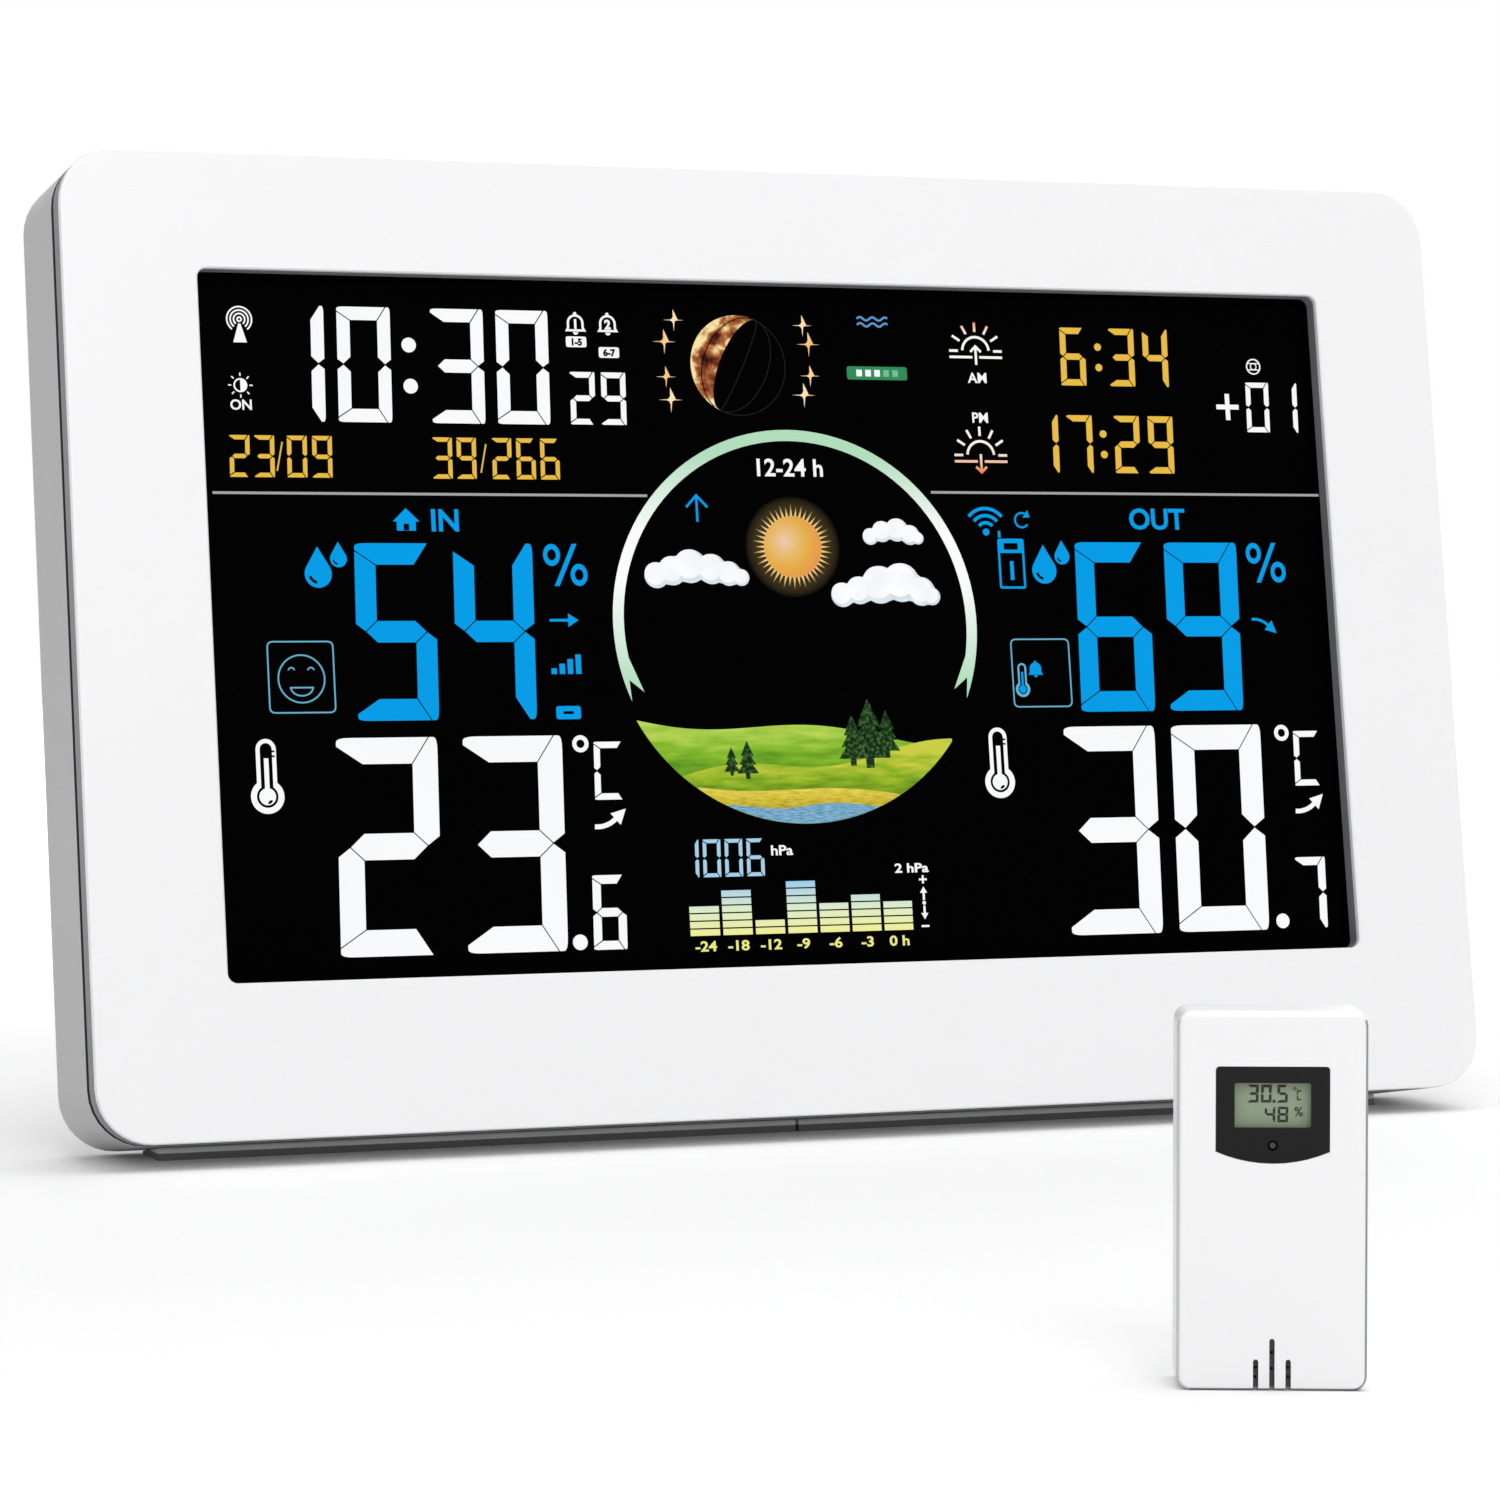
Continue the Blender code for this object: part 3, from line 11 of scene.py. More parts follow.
import bmesh
import bpy
from bpy.props import FloatProperty, FloatVectorProperty, PointerProperty
from mathutils import Matrix, Vector
from mathutils.geometry import tessellate_polygon


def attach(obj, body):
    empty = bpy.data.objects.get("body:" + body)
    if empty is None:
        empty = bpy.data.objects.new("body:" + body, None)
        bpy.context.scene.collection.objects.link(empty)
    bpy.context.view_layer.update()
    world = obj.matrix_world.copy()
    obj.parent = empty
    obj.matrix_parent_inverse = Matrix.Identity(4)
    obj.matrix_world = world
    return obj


bl_info = {
    "name": "Home weather station",
    "version": (1, 0, 0),
    "blender": (4, 5, 0),
    "location": "View3D > Sidebar > Station",
    "description": "Finishes, display art and stage of a desk weather station with its wireless sensor",
    "category": "Object",
}

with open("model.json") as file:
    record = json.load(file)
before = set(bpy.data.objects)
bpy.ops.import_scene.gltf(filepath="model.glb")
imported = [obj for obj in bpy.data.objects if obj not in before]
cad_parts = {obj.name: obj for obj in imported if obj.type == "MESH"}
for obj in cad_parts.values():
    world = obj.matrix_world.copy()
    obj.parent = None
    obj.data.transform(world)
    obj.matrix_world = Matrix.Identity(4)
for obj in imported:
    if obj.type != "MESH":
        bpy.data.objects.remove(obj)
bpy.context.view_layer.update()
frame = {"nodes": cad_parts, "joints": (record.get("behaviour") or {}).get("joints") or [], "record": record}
JOINTS = {joint["name"]: joint for joint in frame["joints"]}
SUBPARTS = frame["record"]["subparts"]

MM = 0.001
UP = Vector((0, 0, 1))
RIGHT = Vector((1, 0, 0))

# Columns of a face's frame
ACROSS, RISE, OUT = range(3)

# The angle from which a CAD edge stays sharp, and the gap over which corners are joined, in metres
SHARP_ANGLE = math.radians(32.0)
WELD = 1e-6

# How far the two displays run on behind their windows, in millimetres
WINDOW_LAP = 3.0
SENSOR_LAP = 0.9

# Heights of ink solids below and above the display's face, in millimetres
INK_SINK = 0.02
INK_RISE = 0.04
INK_STEP = 0.02

# Points that count as one, in millimetres
SAME_POINT = 1e-4

# Zones of painted shade, in millimetres: the blur of their edge, and a bound that lies past every piece
SHADE_ZONE_BLUR = 0.05
FAR = 100.0

# Depths of the groove and the lip behind the console's face, which bound their painted shade
GROOVE_FROM = 4.6
LIP_TO = 6.35

# The sensor's front edge, where shade is painted: its depth behind the face, and its bounds below the top
# and from the left
EDGE_FROM, EDGE_TO = 0.1, 1.4
EDGE_BELOW = 1.0
LEFT_EDGE_TO = 1.6

# The sensor's slots, where shade is painted: across from its middle, up from its foot and out from its face
SLOT_ZONE = ((ACROSS, -2.6, 2.6), (RISE, 0.4, 6.6), (OUT, -0.8, -0.12))

# Heights of the zones on the strips under the console, above the table: the dark sole, whose colour also
# stands in for the contact shadow, and the painted shade under the plate's edge
SOLE_TO = 1.2
BRIM_FROM = 1.7
BRIM_BLUR = 0.9

# Capital height of Blender's own font as a share of its size
CAPITAL = 0.73

# Most of a side that a rounded corner takes, and the least cosine at the turn of a line
ROUND_SHARE = 0.48
TURN_LEAST = 0.4

# A segment digit's width, height and stroke, and the step to the next one, in millimetres
DigitSize = namedtuple("DigitSize", "width height stroke pitch", defaults=(0.0,))
DEGREE_SIZE = DigitSize(5.7, 10.3, 1.3)

# Moulded texture: roughness, grain in metres, and depth as a share of the grain depth that is set
Texture = namedtuple("Texture", "roughness grain depth")
SHELL_TEXTURE = Texture(0.34, 0.0007, 0.25)
CASE_TEXTURE = Texture(0.55, 0.0006, 1.0)
RIM_TEXTURE = Texture(0.5, 0.0006, 1.0)
GUIDE_TEXTURE = Texture(0.2, 0.002, 0.2)
TRAY_TEXTURE = Texture(0.5, 0.0008, 1.0)
BLACK_TEXTURE = Texture(0.45, 0.0005, 1.0)
LENS_TEXTURE = Texture(0.12, 0.003, 0.1)
RUBBER_TEXTURE = Texture(0.75, 0.0004, 1.5)
FERRITE_TEXTURE = Texture(0.7, 0.0005, 2.0)


def tint(red, green, blue):
    """Linear colour from a screen's 0 to 255 values."""
    made = []
    for value in (red, green, blue):
        share = value / 255
        made.append(share / 12.92 if share < 0.04045 else ((share + 0.055) / 1.055) ** 2.4)
    return tuple(made)


def colour_setting(label, words, default):
    return FloatVectorProperty(
        name=label, description=words, size=3, subtype="COLOR", min=0.0, max=1.0, default=default
    )


def length_setting(label, words, default):
    return FloatProperty(name=label, description=words, unit="LENGTH", precision=5, default=default)


def angle_setting(label, words, default):
    return FloatProperty(name=label, description=words, subtype="ANGLE", default=math.radians(default))


def power_setting(label, words, default):
    return FloatProperty(name=label, description=words, subtype="POWER", unit="POWER", default=default)


class ShellLook(bpy.types.PropertyGroup):
    """Colours of the moulded shells."""

    white: colour_setting("Shell white", "Front plate, top bar and sensor", (0.85, 0.85, 0.86))
    grey: colour_setting("Case grey", "Back case, stand and buttons", (0.50, 0.50, 0.51))
    rim: colour_setting("Rim grey", "Frame behind the front plate", (0.19, 0.19, 0.20))
    grain: length_setting("Grain depth", "Depth of the case's fine texture", 0.00003)


class DisplayLook(bpy.types.PropertyGroup):
    """Colours and segment shapes of the lit display."""

    white: colour_setting("White", "Main digits and signs", tint(252, 253, 254))
    blue: colour_setting("Blue", "Headings and radio signs", tint(10, 160, 235))
    line: colour_setting("Line blue", "Boxes with signs", tint(104, 182, 212))
    amber: colour_setting("Amber", "Date and sun times", tint(236, 190, 72))
    pale: colour_setting("Pale blue", "Pressure digits", tint(168, 212, 236))
    green: colour_setting("Green", "Level tag", tint(52, 142, 92))
    grey: colour_setting("Grey", "Divider lines", tint(168, 166, 166))
    gap: length_setting("Segment gap", "Dark line between two segments", 0.00019)
    slant: angle_setting("Slant", "Lean of the digits to the right", 1.3)


class StageLook(bpy.types.PropertyGroup):
    """Camera, lamps and floor."""

    place: FloatVectorProperty(
        name="Camera place",
        description="Where the camera stands, from the lower left corner of the console's face",
        subtype="TRANSLATION",
        unit="LENGTH",
        size=3,
        default=(-0.18741, -0.75866, 0.09246),
    )
    heading: angle_setting("Heading", "Turn of the camera about the vertical", -21.73)
    drop: angle_setting("Drop", "How far the camera looks down", 2.016)
    lens: FloatProperty(
        name="Lens", description="Focal length", subtype="DISTANCE_CAMERA", default=113.75
    )
    floor: colour_setting("Floor", "Pale floor", (0.94, 0.94, 0.94))
    ambient: FloatProperty(name="Ambient", description="Light from all round", min=0.0, default=0.42)
    key: power_setting("Key lamp", "Lamp at the front", 10.8)
    top: power_setting("Top lamp", "Lamp overhead", 13.0)
    back: power_setting("Back lamp", "Lamp behind", 7.0)


class Wire:
    """An output in a node tree. Arithmetic on it adds Math nodes."""

    def __init__(self, nodes, socket):
        self.nodes = nodes
        self.socket = socket

    def __add__(self, other):
        return self.nodes.maths("ADD", self, other)

    def __sub__(self, other):
        return self.nodes.maths("SUBTRACT", self, other)

    def __rsub__(self, other):
        return self.nodes.maths("SUBTRACT", other, self)

    def __mul__(self, other):
        return self.nodes.maths("MULTIPLY", self, other)

    def __truediv__(self, other):
        return self.nodes.maths("DIVIDE", self, other)

    def __rtruediv__(self, other):
        return self.nodes.maths("DIVIDE", other, self)

    def __pow__(self, other):
        return self.nodes.maths("POWER", self, other)

    def __rpow__(self, other):
        return self.nodes.maths("POWER", other, self)

    __radd__ = __add__
    __rmul__ = __mul__


class Nodes:
    """A node tree under construction."""

    # Places of the Mix node's two colours and of its colour result
    mix_colours = (6, 7)
    mix_result = 2

    def __init__(self, tree):
        self.tree = tree

    def node(self, kind, settings=None, sockets=None, output=0):
        """Adds one node: its settings first, then the values or links of its sockets."""
        made = self.tree.nodes.new(kind)
        for name, value in (settings or {}).items():
            if name == "stops":
                self.set_stops(made.color_ramp, value)
            else:
                setattr(made, name, value)
        self.feed(made, sockets or {})
        return Wire(self, made.outputs[output])

    def feed(self, node, sockets):
        for name, value in sockets.items():
            if isinstance(value, Wire):
                self.tree.links.new(value.socket, node.inputs[name])
            else:
                node.inputs[name].default_value = value

    @staticmethod
    def set_stops(ramp, stops):
        while len(ramp.elements) < len(stops):
            ramp.elements.new(1.0)
        for element, (place, colour) in zip(ramp.elements, stops):
            element.position = place
            element.color = (*colour, 1.0)

    def maths(self, operation, first, second):
        return self.node("ShaderNodeMath", {"operation": operation}, {0: first, 1: second})

    def limited(self, value):
        """The value held between 0 and 1."""
        return self.node("ShaderNodeClamp", None, {"Value": value})

    def mixed(self, factor, first, second):
        """A colour between two colours."""
        sockets = {0: factor}
        for index, colour in zip(self.mix_colours, (first, second)):
            sockets[index] = colour if isinstance(colour, Wire) else (*colour, 1.0)
        return self.node("ShaderNodeMix", {"data_type": "RGBA"}, sockets, self.mix_result)

    def ramp(self, factor, stops):
        return self.node("ShaderNodeValToRGB", {"stops": stops}, {"Fac": factor})


class Finish(Nodes):
    """A material with one Principled shader."""

    def __init__(self, name, **constants):
        self.material = bpy.data.materials.new(name)
        self.material.use_nodes = True
        super().__init__(self.material.node_tree)
        self.shader = self.tree.nodes["Principled BSDF"]
        self.give(**constants)
        self.where = self.node("ShaderNodeTexCoord", None, None, "Object")

    def give(self, **sockets):
        """Sets sockets of the shader. Underscores stand for the spaces in their names."""
        names = {name.replace("_", " "): value for name, value in sockets.items()}
        if "Specular" in names:
            names["Specular IOR Level"] = names.pop("Specular")
        for name, value in names.items():
            if name.endswith("Color") and not isinstance(value, Wire):
                names[name] = (*value, 1.0)
        self.feed(self.shader, names)

    def along(self, axis):
        """Place along one axis of the piece's own frame, in millimetres."""
        return self.node("ShaderNodeSeparateXYZ", None, {0: self.where}, axis) / MM

    def from_point(self, x, y):
        """Distance from a point, seen along the piece's own Z, in millimetres."""
        across = self.along("X") - x
        rise = self.along("Y") - y
        return (across * across + rise * rise) ** 0.5

    def noise(self, grain, detail=2.0, stretch=None):
        """Noise with grains of the given size in metres."""
        where = self.where
        if stretch:
            where = self.node("ShaderNodeMapping", None, {"Vector": where, "Scale": stretch})
        sockets = {"Vector": where, "Scale": 1.0 / grain, "Detail": detail}
        return self.node("ShaderNodeTexNoise", None, sockets, "Fac")

    def bumped(self, height, depth):
        """Raises and lowers the surface by up to a depth in metres."""
        sockets = {"Height": height, "Distance": depth, "Strength": 1.0}
        self.give(Normal=self.node("ShaderNodeBump", None, sockets))


def way(joint):
    return Vector(JOINTS[joint]["axis"]).normalized()


def reach(node, direction):
    """Lowest and highest place of a node along a direction."""
    places = [direction.dot(vertex.co) for vertex in frame["nodes"][node].data.vertices]
    return min(places), max(places)


def face_frame(node, right, up, margin):
    """Frame on a node's front face: right, up and out, from its lower left corner and a margin in."""
    out = right.cross(up)
    corner = right * (reach(node, right)[0] + margin) + up * (reach(node, up)[0] + margin)
    corner += out * reach(node, out)[1]
    made = Matrix((right, up, out)).transposed().to_4x4()
    made.translation = corner
    return made


def axis(place, column):
    """One direction of a face's frame."""
    return place.col[column].to_3d()


def console_frame():
    return face_frame("face_panel", RIGHT, -way("snooze_press"), 0.0)


def screen_frame():
    return face_frame("lcd_panel", RIGHT, -way("snooze_press"), WINDOW_LAP * MM)


def sensor_frame(node="sensor_body", margin=0.0):
    return face_frame(node, way("channel_slide"), UP, margin)


def scaled(colour, share):
    return tuple(value * share for value in colour)


def zone_mask(finish, toward, origin, low, high, blur=SHADE_ZONE_BLUR):
    """1 where a place lies between two distances from an origin along a direction, in millimetres."""
    sockets = {0: finish.where, 1: toward}
    place = finish.node("ShaderNodeVectorMath", {"operation": "DOT_PRODUCT"}, sockets, "Value")
    place = (place - origin) / MM
    return finish.limited((place - low) / blur) * finish.limited((high - place) / blur)


def console_zone(finish, first, last):
    """1 between two depths behind the console's face."""
    out = axis(console_frame(), OUT)
    return zone_mask(finish, -out, -reach("face_panel", out)[1], first, last)


def groove_shade_mask(finish):
    """1 on the frame's groove, behind its edge strip, where the groove's shade is painted dark."""
    return console_zone(finish, GROOVE_FROM, FAR)


def lip_shade_mask(finish):
    """1 on the case's front lip, which faces the groove, where its shade is painted dark."""
    return console_zone(finish, -FAR, LIP_TO)


def edge_shade_mask(finish):
    """1 on the rounded edge of the sensor's front, where shade is painted as the light falls off, but not
    along its top.
    """
    out = axis(sensor_frame(), OUT)
    side = zone_mask(finish, -out, -reach("sensor_body", out)[1], EDGE_FROM, EDGE_TO)
    return side * zone_mask(finish, UP, reach("sensor_body", UP)[1], -FAR, -EDGE_BELOW)


def left_edge_light_mask(finish):
    """1 on the same edge at the sensor's left side, painted a lighter shade because it faces more light."""
    across = axis(sensor_frame(), ACROSS)
    left = reach("sensor_body", across)[0]
    return edge_shade_mask(finish) * zone_mask(finish, across, left, -FAR, LEFT_EDGE_TO)


def slot_shade_mask(finish):
    """1 inside the sensor's front slots, near its foot and a little behind its face, where shade is painted.
    """
    place = sensor_frame()
    across = axis(place, ACROSS)
    left, right = reach("sensor_body", across)
    middle = place.translation + across * (right - left) / 2
    mask = 1.0
    for column, low, high in SLOT_ZONE:
        toward = axis(place, column)
        mask = zone_mask(finish, toward, middle.dot(toward), low, high) * mask
    return mask


def sole_and_shadow_mask(finish):
    """1 on the dark sole of the strips under the console, whose dark colour also stands in for the shadow
    where they meet the table.
    """
    return zone_mask(finish, UP, 0.0, -FAR, SOLE_TO)


def brim_shade_mask(finish):
    """Rises from 0 towards the top of the same strips, where the shade of the plate's edge is painted."""
    return zone_mask(finish, UP, 0.0, BRIM_FROM, FAR, BRIM_BLUR)


def moulded(name, colour, texture, look, gloss=0.5, shades=()):
    """Moulded plastic: fine spark texture, slight flow marks, uneven gloss, and zones of painted shade."""
    finish = Finish(name, Specular=gloss)
    flow = finish.noise(0.06, 3.0)
    fine = finish.noise(texture.grain, 3.0)
    shell = finish.mixed(flow, scaled(colour, 0.97), colour)
    # Painted shade: each mask turns its zone to a shaded colour
    for mask, shade in shades:
        shell = finish.mixed(mask(finish), shell, shade)
    finish.give(Base_Color=shell)
    finish.give(Roughness=texture.roughness + 0.10 * (fine - 0.5) + 0.06 * (flow - 0.5))
    finish.bumped(fine, look.grain * texture.depth)
    return finish


def metal(name, colour, roughness, stretch):
    """Plated metal with fine drawing marks along one way."""
    finish = Finish(name, Metallic=1.0)
    marks = finish.noise(0.0006, 4.0, stretch)
    dull = finish.noise(0.004, 3.0)
    finish.give(Base_Color=finish.mixed(dull, scaled(colour, 0.82), colour))
    finish.give(Roughness=roughness + 0.16 * (marks - 0.5))
    finish.bumped(marks, 0.00001)
    return finish


def black_display():
    """Dark display glass, with the faintest uneven sheen."""
    finish = Finish("display", Specular=0.006)
    haze = finish.noise(0.05)
    finish.give(Base_Color=finish.mixed(haze, tint(1, 1, 1), tint(2, 2, 3)))
    finish.give(Roughness=0.28 + 0.08 * haze)
    return finish


def circuit_board():
    """Green solder mask with paler tracks and a fine weave under it."""
    finish = Finish("circuit_board", Specular=0.5)
    black = (0, 0, 0, 1)
    sockets = {"Vector": finish.where, "Scale": 240.0, "Mortar Size": 0.03}
    sockets.update(Color1=black, Color2=black)
    tracks = finish.node("ShaderNodeTexBrick", {"offset": 0.5}, sockets, "Fac")
    weave = finish.noise(0.0008, 2.0)
    green = finish.mixed(weave, tint(10, 78, 44), tint(14, 92, 52))
    finish.give(Base_Color=finish.mixed(tracks, green, tint(40, 128, 78)))
    finish.give(Roughness=0.38 + 0.1 * weave)
    finish.bumped(tracks, 0.00003)
    return finish


def cell_sleeve():
    """Plain grey shrink sleeve of a dry cell."""
    finish = Finish("cell_sleeve", Specular=0.5)
    # The lighter streaks in the colour are painted sheen; the same noise also varies the roughness and the
    # bump
    sheen = finish.noise(0.003, 2.0, (1.0, 8.0, 1.0))
    finish.give(Base_Color=finish.mixed(sheen, tint(128, 131, 137), tint(150, 153, 158)))
    finish.give(Roughness=0.26 + 0.12 * sheen)
    finish.bumped(sheen, 0.00002)
    return finish


def sensor_glass():
    """Grey-green reflective display of the sensor."""
    finish = Finish("sensor_display", Specular=0.4)
    fine = finish.noise(0.00012, 2.0)
    slow = finish.noise(0.006)
    green = finish.mixed(slow, tint(134, 150, 122), tint(152, 166, 138))
    finish.give(Base_Color=finish.mixed(0.25 * fine, green, tint(112, 128, 104)))
    finish.give(Roughness=0.22 + 0.08 * slow)
    return finish


def lamp_lens():
    """Small smoked lamp, off."""
    finish = Finish("lamp", Specular=0.6)
    depth = finish.noise(0.0004)
    finish.give(Base_Color=finish.mixed(depth, tint(16, 16, 17), tint(30, 30, 30)))
    finish.give(Roughness=0.12 + 0.1 * depth)
    return finish


def finishes(look):
    """The finish of each material slot in the record."""
    return {
        "white_shell": moulded("white_shell", look.white, SHELL_TEXTURE, look),
        "grey_case": moulded("grey_case", look.grey, CASE_TEXTURE, look),
        "display": black_display(),
        "light_guide": moulded("light_guide", tint(226, 230, 233), GUIDE_TEXTURE, look),
        "tray": moulded("tray", tint(222, 222, 217), TRAY_TEXTURE, look),
        "circuit_board": circuit_board(),
        "black_plastic": moulded("black_plastic", tint(30, 30, 31), BLACK_TEXTURE, look),
        "black_lens": moulded("black_lens", tint(17, 17, 19), LENS_TEXTURE, look, gloss=0.15),
        "rubber": moulded("rubber", tint(150, 150, 151), RUBBER_TEXTURE, look),
        "steel": metal("steel", tint(204, 203, 200), 0.3, (1.0, 1.0, 9.0)),
        "ferrite": moulded("ferrite", tint(74, 70, 67), FERRITE_TEXTURE, look),
        "cell_can": cell_sleeve(),
        "lamp": lamp_lens(),
        "sensor_display": sensor_glass(),
    }


def zoned_finishes(look):
    """The finish of each node that has zones of painted shade."""
    # Colours of painted shade: dark in the groove, on the lip and in the slots, dull grey on the sensor's
    # front edge and pale grey on its left side
    dark, dull, pale = tint(40, 40, 41), tint(122, 122, 124), tint(200, 200, 202)
    groove = ((groove_shade_mask, dark),)
    lip = ((lip_shade_mask, dark),)
    front = ((edge_shade_mask, dull), (left_edge_light_mask, pale), (slot_shade_mask, dark))
    # The strips: painted shade towards their top under the plate's edge, and a darker sole whose colour also
    # stands in for the contact shadow
    strip_shade_zones = ((brim_shade_mask, tint(52, 52, 53)), (sole_and_shadow_mask, tint(132, 132, 133)))
    strip = moulded("foot_strip", tint(250, 250, 250), RUBBER_TEXTURE, look, shades=strip_shade_zones)
    return {
        "front_frame": moulded("rim_grey", look.rim, RIM_TEXTURE, look, shades=groove),
        "rear_case": moulded("case_grey", look.grey, CASE_TEXTURE, look, shades=lip),
        "sensor_body": moulded("sensor_white", look.white, SHELL_TEXTURE, look, shades=front),
        "base_foot_left": strip,
        "base_foot_right": strip,
    }


def true_edges():
    """Modifier nodes that join split corners and keep only true edges sharp."""
    group = bpy.data.node_groups.new("true_edges", "GeometryNodeTree")
    for end in ("INPUT", "OUTPUT"):
        group.interface.new_socket("Geometry", in_out=end, socket_type="NodeSocketGeometry")
    nodes = Nodes(group)
    shape = nodes.node("NodeGroupInput")
    shape = nodes.node("GeometryNodeMergeByDistance", None, {"Geometry": shape, "Distance": WELD})
    shape = nodes.node("GeometryNodeSetShadeSmooth", {"domain": "FACE"}, {"Geometry": shape})
    angle = nodes.node("GeometryNodeInputMeshEdgeAngle")
    sharp = nodes.node("FunctionNodeCompare", {"operation": "GREATER_THAN"}, {0: angle, 1: SHARP_ANGLE})
    sockets = {"Geometry": shape, "Selection": sharp, "Shade Smooth": False}
    shape = nodes.node("GeometryNodeSetShadeSmooth", {"domain": "EDGE"}, sockets)
    group.links.new(shape.socket, group.nodes.new("NodeGroupOutput").inputs[0])
    return group


def dress(node, finish, edges):
    """Gives a CAD node its finish, and shades its rounds smooth."""
    node.material_slots[0].material = finish.material
    node.modifiers.new("true_edges", "NODES").node_group = edges
    weighted = node.modifiers.new("flat_faces", "WEIGHTED_NORMAL")
    weighted.keep_sharp = True


def arc(x, y, radius, start, end, steps):
    """Points on a circle from one angle to another, in degrees."""
    turns = [math.radians(start + (end - start) * i / steps) for i in range(steps + 1)]
    return [(x + radius * math.cos(turn), y + radius * math.sin(turn)) for turn in turns]


def disc(x, y, radius, steps=28):
    return arc(x, y, radius, 0, 360, steps)[:-1]


def band(x, y, inner, outer, start, end, steps=24):
    return arc(x, y, outer, start, end, steps) + arc(x, y, inner, end, start, steps)


def half_disc(x, y, radius, start, steps):
    """Half a disc, anticlockwise from an angle in degrees."""
    return band(x, y, SAME_POINT, radius, start, start + 180, steps)


def bar(left, low, right, high):
    return [(left, low), (right, low), (right, high), (left, high)]


def moved(points, x=0.0, y=0.0, turn=0.0, size=1.0):
    """The outline turned about its origin, sized and moved."""
    cos = size * math.cos(math.radians(turn))
    sin = size * math.sin(math.radians(turn))
    return [(x + px * cos - py * sin, y + px * sin + py * cos) for px, py in points]


def softened(points, radius, only=None):
    """The outline with its corners rounded, or only those at the given places."""
    steps = 4
    made = []
    for i, point in enumerate(points):
        if only is not None and i not in only:
            made.append(point)
            continue
        corner = Vector(point)
        sides = [Vector(points[i - 1]) - corner, Vector(points[(i + 1) % len(points)]) - corner]
        cuts = [side.normalized() * min(radius, side.length * ROUND_SHARE) for side in sides]
        first, last = (corner + cut for cut in cuts)
        for step in range(steps + 1):
            t = step / steps
            made.append(tuple(first * (1 - t) ** 2 + corner * 2 * t * (1 - t) + last * t**2))
    return made


def line(points, width):
    """Outline of a line of one width through the points."""
    left, right = [], []
    for i, point in enumerate(points):
        here = Vector(point)
        ways = []
        if i:
            ways.append((here - Vector(points[i - 1])).normalized())
        if i < len(points) - 1:
            ways.append((Vector(points[i + 1]) - here).normalized())
        along = sum(ways, Vector((0, 0))).normalized()
        side = Vector((-along.y, along.x)) * (width / 2) / max(along.dot(ways[0]), TURN_LEAST)
        left.append(tuple(here + side))
        right.append(tuple(here - side))
    return right + left[::-1]


def inset(points, gap):
    """A convex outline with every side moved in."""
    made = []
    count = len(points)
    lines = []
    for i in range(count):
        start, end = Vector(points[i]), Vector(points[(i + 1) % count])
        along = (end - start).normalized()
        lines.append((start + Vector((-along.y, along.x)) * gap, along))
    for i in range(count):
        (first, way_in), (second, way_out) = lines[i - 1], lines[i]
        cross = way_in.x * way_out.y - way_in.y * way_out.x
        offset = second - first
        reach_in = (offset.x * way_out.y - offset.y * way_out.x) / cross
        made.append(tuple(first + way_in * reach_in))
    return made


def drop(x, y, radius, height):
    """Water drop: a circle about a point, with its tip above."""
    lean = math.degrees(math.acos(radius / height))
    return arc(x, y, radius, 90 + lean, 450 - lean, 20) + [(x, y + height)]


def spark(x, y, radius):
    """Star of four hollow-sided points."""
    waist = -0.25
    made = []
    for i in range(4):
        tip = Vector((radius, 0))
        tip.rotate(Matrix.Rotation(math.radians(90 * i), 2))
        after = Vector((-tip.y, tip.x))
        hollow = (tip + after) * waist
        for t in (0.0, 0.25, 0.5, 0.75):
            place = tip * (1 - t) ** 2 + hollow * 2 * t * (1 - t) + after * t**2
            made.append((x + place.x, y + place.y))
    return made


def puffs(circles):
    """Outline of overlapping circles in a row, each given by its middle and radius."""
    steps = 44
    slack = 1e-5
    left = min(x - r for x, y, r in circles)
    right = max(x + r for x, y, r in circles)
    upper, lower = [], []
    for i in range(steps + 1):
        x = left + (right - left) * (0.5 - 0.5 * math.cos(math.pi * i / steps))
        rests = [(y, r * r - (x - cx) ** 2) for cx, y, r in circles]
        spans = [(y, math.sqrt(max(rest, 0.0))) for y, rest in rests if rest > -slack]
        upper.append((x, max(y + span for y, span in spans)))
        lower.append((x, min(y - span for y, span in spans)))
    return upper[::-1] + lower[1:-1]


def wound(points, way_round):
    """The outline without doubled points, anticlockwise for 1 and clockwise for -1."""
    kept = [p for i, p in enumerate(points) if math.dist(p, points[i - 1]) > SAME_POINT]
    area = sum(kept[i - 1][0] * p[1] - p[0] * kept[i - 1][1] for i, p in enumerate(kept))
    return kept if area * way_round > 0 else kept[::-1]


SEGMENTS = {
    "0": "abcdef",
    "1": "bc",
    "2": "abdeg",
    "3": "abcdg",
    "4": "bcfg",
    "5": "acdfg",
    "6": "acdefg",
    "7": "abc",
    "8": "abcdefg",
    "9": "abcdfg",
    "C": "adef",
}


